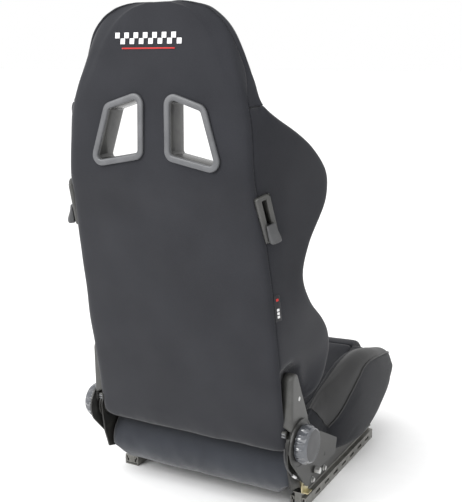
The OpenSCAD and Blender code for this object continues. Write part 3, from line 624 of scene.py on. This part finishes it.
def wing_ring(v):
    """Section of the side bolster at height v, from its seam with the rear cover, and its corners."""
    a, n, t, f = rear_x(v), rear_n(v), smooth(BACK, v, 3), smooth(BACK, v, 4)
    i, c = a - WING_IN, smooth(BACK, v, 5)
    high = ease(v, 110, 190)
    b = a + (t - a) * (0.3 + 0.2 * high)
    m = n - PANEL_T - 0.3
    bn = min(max(n + (f - n) * (0.6 - 0.18 * high), f + 26), m - 16)
    w = min(30, t - i - 4)
    k = min(1, max(0, (c - f) / 30))
    front = [i, max(f - 4, min(c, n - PANEL_T - CAVITY_T - 4))]
    outer = [(a - 0.6, m), (a + (b - a) * 0.2, m - (m - bn) * 0.16), (a + (b - a) * 0.55, m - (m - bn) * 0.5),
             (b, bn), (t, min(f + 16, m - 20)), (t - 4, f + 5), (t - 12, f),
             (t - w * 0.8, f + 3 * k), (t - w, f + 12 * k), front]
    return section((outer, 44), ([front, (i, m)], 12), ([(i, m), (a - 0.6, m)], 4))


def clamp_sides(obj, side):
    """Keeps a side bolster off the recliner's steel."""
    for vert in obj.data.vertices:
        y, z = vert.co.y / MM - PIVOT_Y, vert.co.z / MM - PIVOT_Z
        n = y * math.cos(LEAN) - z * math.sin(LEAN)
        v = y * math.sin(LEAN) + z * math.cos(LEAN)
        room = hardware_room(n, v) * MM
        if vert.co.x * side > room:
            vert.co.x = side * room


def wing(name, levels, side, cap):
    rings, corners = [], None
    for v in levels:
        ring, corners = wing_ring(v)
        rings.append([mirrored(back(p.x, p.y, v), side) for p in ring])
    obj = loft(name, rings, KNIT, shrink=(0.9, 0.6))
    clamp_sides(obj, side)
    puff(obj, cap, pinned(obj, len(levels), [0, *range(corners[1], obj["n"])]))
    clamp_sides(obj, side)
    ripple(obj, 0.0016, 12)
    return obj


LEVER_AT, LEVER_TURN, LEVER_LEAN = (209, 24, 470), 34, (-9, -5)
LEVER_LEN, LEVER_WID, LEVER_SLOT = 88, 29, 74
LEVER = (Matrix.Translation(LEVER_AT) @ Matrix.Rotation(math.radians(LEVER_LEAN[1]), 4, "Y")
         @ Matrix.Rotation(math.radians(LEVER_LEAN[0]), 4, "X")
         @ Matrix.Rotation(math.radians(LEVER_TURN), 4, "Z"))


def lever_point(x, y, z):
    return back(*(LEVER @ Vector((x, y, z))))


SIDE_LEVELS = [13.5, 18, 25, 34] + steps(43, HEAD_V, 72)
for side, hand in ((1, "left"), (-1, "right")):
    cover = wing(f"side_bolster_cover_{hand}", SIDE_LEVELS, side, 0.006)
    room = boxy("room", (4, 0, 0), (40, LEVER_WID + 0.8, LEVER_LEN + 0.8), BEZEL,
                lambda x, y, z: mirrored(lever_point(x, y, z), side), corner=4.5)
    soften(cover)
    cut(cover, room)
    cut(panel, room)
    bpy.data.objects.remove(room)
    if side < 0:
        side_skin = skin_of(cover)
    place(cover, "backrest", "knit_fabric", f"hip_bolster_{hand}", f"shoulder_bolster_{hand}", padded=0.8)


def pad_section(half, rear, edge, face, side_count, rear_count):
    """Section of a middle pad, its face from (share of half, height) of one half."""
    front = [(-half, edge)] + [(-half * share, height) for share, height in face]
    front += [(-a, b) for a, b in reversed(front[:-1])]
    return section(([(-half, rear), front[0]], side_count), (front, 56),
                   ([front[-1], (half, rear)], side_count), ([(half, rear), (-half, rear)], rear_count))


def center_ring(v):
    x, n, f = rear_x(v) - WING_IN - 0.3, rear_n(v) - PANEL_T - CAVITY_T - 0.3, smooth(BACK, v, 5)
    ring, corners = pad_section(x, n, f + 2, [(0.9, f - 3), (0.5, f - 2), (0, f - 3)], 8, 40)
    return [back(p.x, p.y, v) for p in ring], corners


# Heights of the sewn channels across the backrest's middle
BACK_CHANNELS = (160, 290, 420)
center_levels = [22, 26, 33] + steps(42, HEAD_V, 62)
made = [center_ring(v) for v in center_levels]
center = loft("back_center_cover", [m[0] for m in made], KNIT, shrink=(0.9, 0.6))
n_cols, corner = center["n"], made[0][1]
held = pinned(center, len(made), [*range(9), *range(corner[2], n_cols)])
sewn = [k for k, v in enumerate(center_levels) if min(abs(v - s) for s in BACK_CHANNELS) < 5.1]
held += [(center["first"] + k) * n_cols + c for k in sewn for c in range(8, 66)]
puff(center, 0.006, held)
soften(center)
cut(center, slot_cutter)
cut(center, pocket_cutter)
place(center, "backrest", "knit_fabric", "back_center_pad", padded=0.6)


def head_ring(v):
    x, n = rear_x(v) - 0.9, rear_n(v)
    t, m, f = smooth(BACK, v, 3), smooth(BACK, v, 4), smooth(BACK, v, 5)
    s, edge, _ = seam_corner(x, n, v)
    start = Vector((x - 0.3, n - PANEL_T - 0.3)).lerp(edge + Vector((0.6, -1.5)), s)
    tip = Vector((t, m))
    side = [start, start.lerp(tip, 0.4), tip, Vector((t * 0.96, m * 0.7 + f * 0.3)),
            Vector((t * 0.8, m * 0.25 + f * 0.75)), Vector((t * 0.5, f))]
    wings = [start, Vector(((x + t) / 2, m + 16.2)), Vector((t, m + 12.2)), Vector((t - 4, m + 5)),
             Vector((t - 14, m - 1)), Vector((t * 0.5, f - 2))]
    q = 1 - ease(v, HEAD_V, 704)
    side = [tuple(p.lerp(w, q)) for p, w in zip(side, wings)]
    half = side + [(0, f - 2 - q)] + [(-a, b) for a, b in reversed(side)]
    rear = [side[0]] + [(a, n - PANEL_T - 0.6 - 1.4 * s) for a in (x - 12, x - min(34, x * 0.4), x * 0.4)]
    rear = [(-a, b) for a, b in rear] + rear[::-1]
    ring, corners = section((half, 96), (rear, 40))
    return [back(p.x, p.y, v) for p in ring], corners


head_levels = [HEAD_V + 0.4, 666] + steps(672, 812, 24) + [818, 823, 828, 832, 836, 839]
made = [head_ring(v) for v in head_levels]
head = loft("headrest_cover", [m[0] for m in made], KNIT, shrink=(0.92, 0.7, 0.4))
rear_run = range(made[0][1][1], head["n"])
puff(head, 0.004, pinned(head, len(made), [0, *rear_run], far_end=False))
soften(head)
cut(head, slot_cutter)
cut(head, pocket_cutter)
place(head, "backrest", "knit_fabric", "headrest_pad", padded=0.8)
for tool in (slot_cutter, pocket_cutter):
    bpy.data.objects.remove(tool)

# ---- cushion -----------------------------------------------------------------------------------


def middle_ring(y, base):
    z, h, b = smooth(MIDDLE, y, 1), CUSHION_HALF - 0.2, max(base, smooth(MIDDLE, y, 2))
    ring, corners = pad_section(h, b, z - 3, [(0.93, z), (0.5, z - 2), (0, z - 3)], 6, 30)
    return [fixed(p.x, y, p.y) for p in ring], corners


def cushion_part(name, node, levels, shrink, sewn_at=()):
    made = [middle_ring(y, PAD_BASE) for y in levels]
    obj = loft(name, [m[0] for m in made], KNIT, shrink=shrink)
    n, first, corner = obj["n"], obj["first"], made[0][1]
    held = pinned(obj, len(made), [*range(7), *range(corner[2], n)])
    sewn = [k for k, y in enumerate(levels) if any(abs(y - s) < 4 for s in sewn_at)]
    held += [(first + k) * n + c for k in sewn for c in range(n)]
    puff(obj, 0.006, held)
    soften(obj)
    place(obj, "seat_base", "knit_fabric", node, padded=0.7)


cushion_part("cushion_center_cover", "cushion_center_pad", steps(NOSE_Y + 0.3, CUSHION_REAR, 46), (0.9, 0.6),
             sewn_at=(-75, 45))
nose_levels = [-276, -274, -270, -264] + steps(-258, NOSE_Y, 9)
cushion_part("cushion_nose_cover", "cushion_nose", nose_levels, (0.9, 0.6))

# y at which the leatherette strip ends, at its inner and its outer seam
STRIP_ENDS = (122, 72)
# y, depth of the leatherette strip's outer seam below the crest
STRIP_DROP = [
    [-276, 6], [-209, 9], [-121, 16], [-60, 22], [-34, 27], [-7, 42], [30, 64], [56, 80], [115, 92],
]


def bolster_ring(y):
    o, c, i, b = smooth(BOLSTER, y, 1), smooth(BOLSTER, y, 2), CUSHION_HALF + 0.3, smooth(MIDDLE, y, 2)
    h, w = c - b, o - i
    m = min(c - min(6, 0.4 * h), smooth(MIDDLE, y, 1))
    over = run([(i, m), (i + 14, max(m, (m + c) / 2 - 4)), (i + w * 0.32, c - min(13, 0.3 * h)),
                (i + w * 0.48, c - min(5, 0.12 * h)), (i + w * 0.68, c), (o - 12, c - min(9, 0.2 * h)),
                (o - 3, c - min(30, 0.35 * h)), (o, (c + b) / 2), (o - 5, b + min(12, 0.15 * h)),
                (o - 14, b)], 240)
    top = max(range(240), key=lambda k: over[k].y)
    near = min(k for k in range(240) if over[k].x > i + w * 0.46)
    far = min(k for k in range(top, 240) if over[k].y < c - min(smooth(STRIP_DROP, y, 1), 0.72 * h))
    inner, strip = over[:near + 1:4] + [over[near]], over[near:far + 1:4] + [over[far]]
    under = (o - 14, b)
    ring, corners = section(([(i, b), (i, m)], 8), (inner, 12), (strip, 20),
                            (over[far::4] + [Vector(under)], 22), ([under, (i, b)], 6))
    return [fixed(p.x, y, p.y) for p in ring], corners


bolster_levels = [-276, -274, -270, -265] + steps(-259, 60, 52) + steps(63, 129, 22)
bolster_levels += [135, 146, 159, CUSHION_REAR]
for side, hand in ((1, "left"), (-1, "right")):
    made = [bolster_ring(y) for y in bolster_levels]
    rings = [[mirrored(p, side) for p in m[0]] for m in made]
    # The bolster covers take the darker copy of the knit: painted shade
    obj = loft(f"cushion_bolster_cover_{hand}", rings, [KNIT_BOLSTER_SHADE, LEATHER], shrink=(0.9, 0.6))
    n, first, corner = obj["n"], obj["first"], made[0][1]
    wide = corner[3] - corner[2]
    end_ys = steps(*STRIP_ENDS, wide)
    ends = [max(k for k, y in enumerate(bolster_levels) if y <= end_y) for end_y in end_ys]
    held = pinned(obj, len(made), [*range(corner[1] + 1), *range(corner[4], n)])
    held += [(first + k) * n + corner[2] for k in range(ends[0])]
    held += [(first + k) * n + corner[3] for k in range(ends[-1])]
    held += [(first + k) * n + corner[2] + c for c, k in enumerate(ends)]
    puff(obj, 0.007, held)
    for poly in obj.data.polygons:
        k, c = divmod(poly.index, n)
        if corner[2] <= c < corner[3] and first <= k < first + ends[c - corner[2]]:
            poly.material_index = 1
    obj.data.update()
    inner_line = seam_points(obj, range(ends[0] + 1), corner[2], -0.0004)
    outer_line = seam_points(obj, range(ends[-1] + 1), corner[3], 0.0006)
    end_line = [obj.data.vertices[(first + k) * n + corner[2] + c].co.copy() for c, k in enumerate(ends)]
    eased = [(p + q + r) / 3 for p, q, r in zip(end_line, end_line[1:], end_line[2:])]
    end_line = [end_line[0], *eased, end_line[-1]]
    soften(obj)
    place(obj, "seat_base", "leatherette", f"cushion_bolster_{hand}", padded=0.8)
    place(tube(f"bolster_piping_{hand}", outer_line, 0.0021, LEATHER), "seat_base", "leatherette")
    place(tube(f"bolster_seam_{hand}", inner_line, 0.0012, THREAD, sides=6), "seat_base", "knit_fabric")
    place(tube(f"bolster_end_seam_{hand}", end_line, 0.0019, LEATHER), "seat_base", "knit_fabric")

ROLL_Y, ROLL_Z, ROLL_R, ROLL_HALF = PIVOT_Y - 47, PIVOT_Z - 84, 51.0, 216


def roll_ring(x):
    edge = max(0.0, abs(x) - (ROLL_HALF - 14)) / 14
    r = ROLL_R * (1 - 0.16 * (1 - math.sqrt(max(0.0, 1 - edge * edge))))
    floor = -12 - (ROLL_HALF - abs(x)) * 12 / 22 if abs(x) > 194 else -24 - (194 - abs(x)) * 36 / 20
    ring = []
    for k in range(56):
        a = 2 * math.pi * k / 56
        y, z = r * math.cos(a), r * math.sin(a)
        if z < floor:
            y *= 1 - 0.25 * min(1, (floor - z) / 30)
            z = floor
        ring.append(fixed(x, ROLL_Y + y, ROLL_Z + z))
    return ring


roll_levels = [-216, -215, -212, -208, -203] + steps(-197, 197, 66) + [203, 208, 212, 215, 216]
roll = loft("cushion_roll_cover", [roll_ring(x) for x in roll_levels], KNIT_ROLL, shrink=(0.9, 0.6))
ripple(roll, 0.0014, 22)
ripple(roll, 0.001, 55)
soften(roll)
place(roll, "seat_base", "knit_fabric", "cushion_rear_roll", padded=0.7)

# ---- emblem and tag ----------------------------------------------------------------------------


def emblem_point(x, n, v):
    return on_skin(panel_skin, back(x, rear_n(v) + 1, v), n)


CHECK, EMBLEM_X, EMBLEM_V = 10, 16, 780
checks = []
for col in range(14):
    for row in range(2):
        if (col + row) % 2 == 0:
            x, v = EMBLEM_X + (col - 6.5) * CHECK + 2 * row, EMBLEM_V - 5 + row * CHECK
            size = (CHECK - 0.2, 1.4, CHECK - 0.2)
            checks.append(boxy("check", (x, 0.9, v), size, THREAD_WHITE, emblem_point, 0.5))
place(join("emblem_checks", checks), "backrest", "knit_fabric")
line = [emblem_point(EMBLEM_X - 56 + 112 * k / 20, 0.6, EMBLEM_V - 17) for k in range(21)]
place(tube("emblem_line", line, 0.0013, THREAD_RED), "backrest", "knit_fabric")

TAG_V = 296


def tag_point(a, b, c):
    """a along the tag's width, b its thickness, c its height; it springs from the right side seam."""
    v = TAG_V + c
    return on_skin(side_skin, mirrored(back(rear_x(v) + 0.4 * a, rear_n(v) - PANEL_T - 0.9 * a, v), -1), b)


tag = boxy("side_tag_label", (7, 1.0, 0), (13, 1.1, 52), TAG_CLOTH, tag_point, 0.4)
marks = [boxy("mark", (7, 1.7, c), (5, 0.5, 5), mat, tag_point, 0.2)
         for c, mat in ((-17, THREAD_WHITE), (-10, THREAD_WHITE), (-3, THREAD_WHITE), (17, THREAD_RED))]
place(join("side_tag", [tag] + marks), "backrest", "woven_tag", "seam_tag")

# ---- recliner hardware -------------------------------------------------------------------------

KNOB_X, FLUTES = 237.5, 16


def knob(side):
    """Fluted hand knob, turned from a profile of (distance out, radius, flute depth)."""
    profile = [
        (0.2, 12, 0), (0.2, 36.2, 0), (0.8, 37.6, 0.6), (2.4, 38.4, 1), (9, 38.8, 1), (15.5, 38.6, 1),
        (17.6, 37.6, 0.9), (19.5, 36.2, 0.35), (22.5, 35.0, 0), (25.0, 33.6, 0), (25.8, 32.6, 0),
        (25.6, 31.9, 0), (24.9, 31.5, 0), (24.9, 10, 0),
    ]
    around = FLUTES * 16
    rings = []
    for out, r, depth in profile:
        ring = []
        for k in range(around):
            phase = (k / around * FLUTES) % 1
            flute = 0.0 if phase < 0.16 else math.sin(math.pi * (phase - 0.16) / 0.84) ** 0.55
            radius = r - 2.7 * depth * flute
            a = 2 * math.pi * k / around
            ring.append(mirrored(pivoted(KNOB_X + out, radius * math.cos(a), radius * math.sin(a)), side))
        rings.append(ring)
    return loft("knob", rings, KNOB, shrink=(0.8,))


def disc(name, side, profile, mats, around=96):
    angles = [2 * math.pi * k / around for k in range(around)]
    rings = [[mirrored(pivoted(out, r * math.cos(a), r * math.sin(a)), side) for a in angles]
             for out, r in profile]
    return loft(name, rings, mats, shrink=(0.6,))


for side, hand in ((1, "left"), (-1, "right")):
    place(knob(side), "knob_shaft", "knob_plastic", f"knob_{hand}").name = f"knob_grip_{hand}"
cap_profile = [(KNOB_X + out, r) for out, r in ((24.9, 31.2), (25.4, 31.1), (25.7, 30.4), (25.75, 12))]
caps = [disc("cap", side, cap_profile, CAP) for side in (1, -1)]
place(join("knob_faces", caps), "knob_shaft", "cover_plastic", "knob_caps")


def hull_outline(circles, count):
    """Outline round circles (a, b, r), as count points evenly spaced in direction."""
    pts = []
    for k in range(count * 4):
        d = 2 * math.pi * k / (count * 4)
        a, b, r = max(circles, key=lambda c: c[0] * math.cos(d) + c[1] * math.sin(d) + c[2])
        pts.append(Vector((a + r * math.cos(d), b + r * math.sin(d))))
    pts.append(pts[0])
    total = sum((q - p).length for p, q in zip(pts, pts[1:]))
    out, along, i = [], 0.0, 0
    for k in range(count):
        while along + (pts[i + 1] - pts[i]).length < total * k / count:
            along += (pts[i + 1] - pts[i]).length
            i += 1
        out.append(pts[i].lerp(pts[i + 1], (total * k / count - along) / ((pts[i + 1] - pts[i]).length or 1)))
    return out


ARM_COVER = [(-34, 30, 16), (14, 24, 16), (-2, 134, 15)]
ARM_FACE = 233.0
# Inset from the outline, share of the rim's depth, distance out from the face where that share is none
ARM_PROFILE = (
    (2.4, 1, 0), (2.4, 0.5, 0), (2.4, 0, -3.2), (0.4, 1, 0), (0, 1, 0), (0, 0.5, 0), (0, 0, -4.6),
    (0.5, 0, -2.8), (1.6, 0, -1.2), (3.4, 0, -0.3), (6, 0, 0), (12, 0, 0),
)


def inset_ring(outline, inset):
    """outline moved inwards by inset."""
    out = []
    count = len(outline)
    for k, p in enumerate(outline):
        d = (outline[(k + 1) % count] - outline[k - 1]).normalized()
        out.append(p + Vector((-d.y, d.x)) * inset)
    return out


for side, hand in ((1, "left"), (-1, "right")):
    outline = hull_outline(ARM_COVER, 150)

    def rim_depth(p):
        """The rim wraps round the top and the rear edge."""
        rear = min(1, max(0, (p.x - 2 + (p.y - 30) * 0.1) / 10))
        top = min(1, max(0, (p.y - 122) / 14))
        low = min(1, max(0, (p.y - 38) / 10))
        return 3.0 + 19.0 * max(rear, top) * low

    rings = []
    for inset, share, fixed_out in ARM_PROFILE:
        ring = []
        for p, q in zip(outline, inset_ring(outline, inset)):
            out = ARM_FACE + (-rim_depth(p) * share if share else fixed_out)
            ring.append(mirrored(back(out, q.x, q.y), side))
        rings.append(ring)
    rings[0], rings[2] = rings[2], rings[0]
    face = loft("arm_face", rings, COVER, shrink=(0.8, 0.4))
    hole = [mirrored(back(ARM_FACE + out, -13 + r * math.cos(a), 91 + r * math.sin(a)), side)
            for out, r in ((0.15, 4.6), (0.35, 4.0), (0.1, 2.6))
            for a in (2 * math.pi * k / 24 for k in range(24))]
    screw = link("screw", hole, band_faces(2, 3, 24) + [tuple(range(48, 72))], ZINC)

    def on_back(x, n, v, side=side):
        return mirrored(back(x, n, v), side)

    block = boxy("block", (216.2, 28, 31), (10, 8.5, 14), COVER, on_back, 2.2)
    bars = [boxy("bar", (216.2, 32.6, v), (9, 1.6, 2.6), KNOB, on_back, 1.0) for v in (34, 28)]
    cover = join(f"arm_cover_shell_{hand}", [face, screw, block] + bars)
    place(cover, "backrest", "cover_plastic", f"arm_cover_{hand}")

# ---- side release levers -----------------------------------------------------------------------


def rounded(hx, hy, r, count):
    """Rounded rectangle as count points evenly spaced along its edge."""
    pts = []
    for sx, sy, start in ((1, 1, 0), (-1, 1, 90), (-1, -1, 180), (1, -1, 270)):
        angles = [math.radians(start + 9 * k) for k in range(11)]
        pts += [Vector((sx * (hx - r) + r * math.cos(a), sy * (hy - r) + r * math.sin(a))) for a in angles]
    return run(pts + [pts[0]], count)


FACE, REST = 8.8, 6
# Share of the way from the outer to the inner outline, height
SURROUND_PROFILE = (
    (0, -2), (0, 4.6), (0.06, 6.4), (0.18, 7.6), (0.36, 8), (0.8, 8), (0.94, 7.6), (1, 6.6), (1, -3),
    (1, -10), (0.8, -12.4), (0.7, -2.4),
)
# Height along the slot, half width, thickness, lift off the face
PADDLE_ROWS = (
    (-11.6, 9.0, 12.4, 0.3), (-10.8, 10.2, 14.4, 0), (-8, 10.5, 15, 0), (-4, 10.5, 14.2, 0),
    (2, 10.1, 11.6, 0), (9, 9.5, 8.6, 0), (16, 9.0, 6.4, 0), (20, 8.7, 5.4, 0), (21.6, 8.2, 4.8, 0.2),
)
for side, hand in ((1, "left"), (-1, "right")):
    def put(x, y, z, side=side):
        return mirrored(lever_point(x, y, z), side)

    outer = rounded(LEVER_WID / 2, LEVER_LEN / 2, 5, 120)
    inner = rounded(4.5, LEVER_SLOT / 2, 2, 120)
    rings = []
    for share, h in SURROUND_PROFILE:
        rings.append([put(h, o.x + (i.x - o.x) * share, o.y + (i.y - o.y) * share)
                      for o, i in zip(outer, inner)])
    surround = closed_rings("surround", rings, COVER)
    well = boxy("well", (-11, 0, 0), (1.6, 8.9, LEVER_SLOT - 0.4), BLACK_PLASTIC, put, 0.5)
    surround = join(f"lever_surround_{hand}", [surround, well])
    place(surround, "backrest", "moulded_plastic", f"lever_housing_{hand}")

    low = -LEVER_SLOT / 2 + REST
    rings = []
    for z, half, thick, base in PADDLE_ROWS:
        ring = []
        for k in range(36):
            a = 2 * math.pi * k / 36
            ca, sa = math.cos(a), math.sin(a)
            bx = thick / 2 * (1 + math.copysign(abs(ca) ** 0.45, ca))
            by = half * math.copysign(abs(sa) ** 0.5, sa)
            ring.append(put(FACE + base + bx * (1 - 0.1 * (by / half) ** 2), by, low + z))
        rings.append(ring)
    paddle = loft("paddle", rings, CAP, shrink=(0.9, 0.5))
    neck = boxy("neck", (2.6, 0, low + 10), (13, 7.4, 19.6), BLACK_PLASTIC, put, 0.8)
    slide = boxy("slide", (-6.7, 0, low + 10), (5.4, 14.8, 19.6), BLACK_PLASTIC, put, 0.8)
    paddle = join(f"lever_paddle_{hand}", [paddle, neck, slide])
    place(paddle, f"release_lever_{hand}", "moulded_plastic", f"release_lever_{hand}")

# ---- carried-over steel and plastic ------------------------------------------------------------

FINISHES = (
    (("lower_rail", "upper_rail"), RAIL_STEEL, 0.5),
    (("frame_", "adjust_bar", "back_frame", "recliner_arm", "spiral", "cover_screws", "side_bracket",
      "hub_gears", "ring_gears"), BLACK_STEEL, 0.4),
    # The recliner covers take the darker copy of the cover plastic: painted shade
    (("recliner_cover",), COVER_SHADED_COPY, 0.9),
    (("cable_anchor",), YELLOW, 0.4),
    (("latch_cable",), SHEATH, 0),
    (("rail_end_stops", "adjust_bar_grip"), BLACK_PLASTIC, 0.5),
)
BEVELLED = (
    "recliner_cover", "bracket_bolts", "side_bracket", "lower_rail", "cable_anchor", "adjust_bar_grip",
)
for name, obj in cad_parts.items():
    found = [(m, w) for starts, m, w in FINISHES if name.startswith(starts)]
    mat, width = found[-1] if found else (ZINC, 0.3)
    obj.data.materials.clear()
    obj.data.materials.append(mat)
    if name.startswith(BEVELLED):
        bevel = obj.modifiers.new("Bevel", "BEVEL")
        bevel.width, bevel.segments, bevel.limit_method = width * MM, 2, "ANGLE"
        bevel.angle_limit = math.radians(40)
        bevel.harden_normals = True

# The zinc ferrule is coloured plain white: a painted reflection of the bright studio on its plating
ferrule = [pivoted(224.9, y, z) for y, z in ((10, -67.4), (6, -70.6), (2, -73.4), (-3, -76.9))]
ferrule = tube("cable_ferrule_painted_glint", [mirrored(p, -1) for p in ferrule], 0.003, THREAD_WHITE, sides=16)
place(ferrule, "seat_base", "zinc_steel")

# ---- stage -------------------------------------------------------------------------------------

paper = plastic("studio floor", (0.93, 0.93, 0.93), (0.94, 0.94, 0.94), rough=(0.9, 0.95))
FLOOR_HALF, FLOOR_Z = 90, -0.0005
floor_corners = [(FLOOR_HALF * x, FLOOR_HALF * y, FLOOR_Z) for x, y in ((-1, -1), (1, -1), (1, 1), (-1, 1))]
floor = link("floor", floor_corners, [(0, 1, 2, 3)], paper)
world = bpy.data.worlds.new("studio")
SCENE.world = world
world.use_nodes = True
world.node_tree.nodes["Background"].inputs["Color"].default_value = (1, 1, 1, 1)
world.node_tree.nodes["Background"].inputs["Strength"].default_value = 1.0

AIM = Vector((0, 0.15, 0.5))


def softbox(name, at, size, watts):
    light = bpy.data.lights.new(name, "AREA")
    light.shape, light.size, light.energy = "DISK", size, watts
    obj = bpy.data.objects.new(name, light)
    SCENE.collection.objects.link(obj)
    obj.location = at
    obj.rotation_euler = (AIM - Vector(at)).to_track_quat("-Z", "Y").to_euler()


softbox("key", (1.4, 2.6, 1.9), 1.4, 62)
softbox("side", (-2.6, 0.4, 1.5), 1.2, 3)
sun = bpy.data.objects.new("sun", bpy.data.lights.new("sun", "SUN"))
sun.data.energy, sun.data.angle = 1.1, math.radians(50)
sun.rotation_euler = (math.radians(-24), math.radians(8), 0)
SCENE.collection.objects.link(sun)

camera = bpy.data.objects.new("camera", bpy.data.cameras.new("camera"))
SCENE.collection.objects.link(camera)
camera.data.lens, camera.data.sensor_width = 63.38, 36
camera.location = (-0.88238, 1.75298, 0.8955)
camera.rotation_euler = Vector((0.4654, -0.8604, -0.2079)).to_track_quat("-Z", "Y").to_euler()
SCENE.camera = camera
SCENE.view_settings.view_transform = "Standard"

bpy.context.view_layer.update()
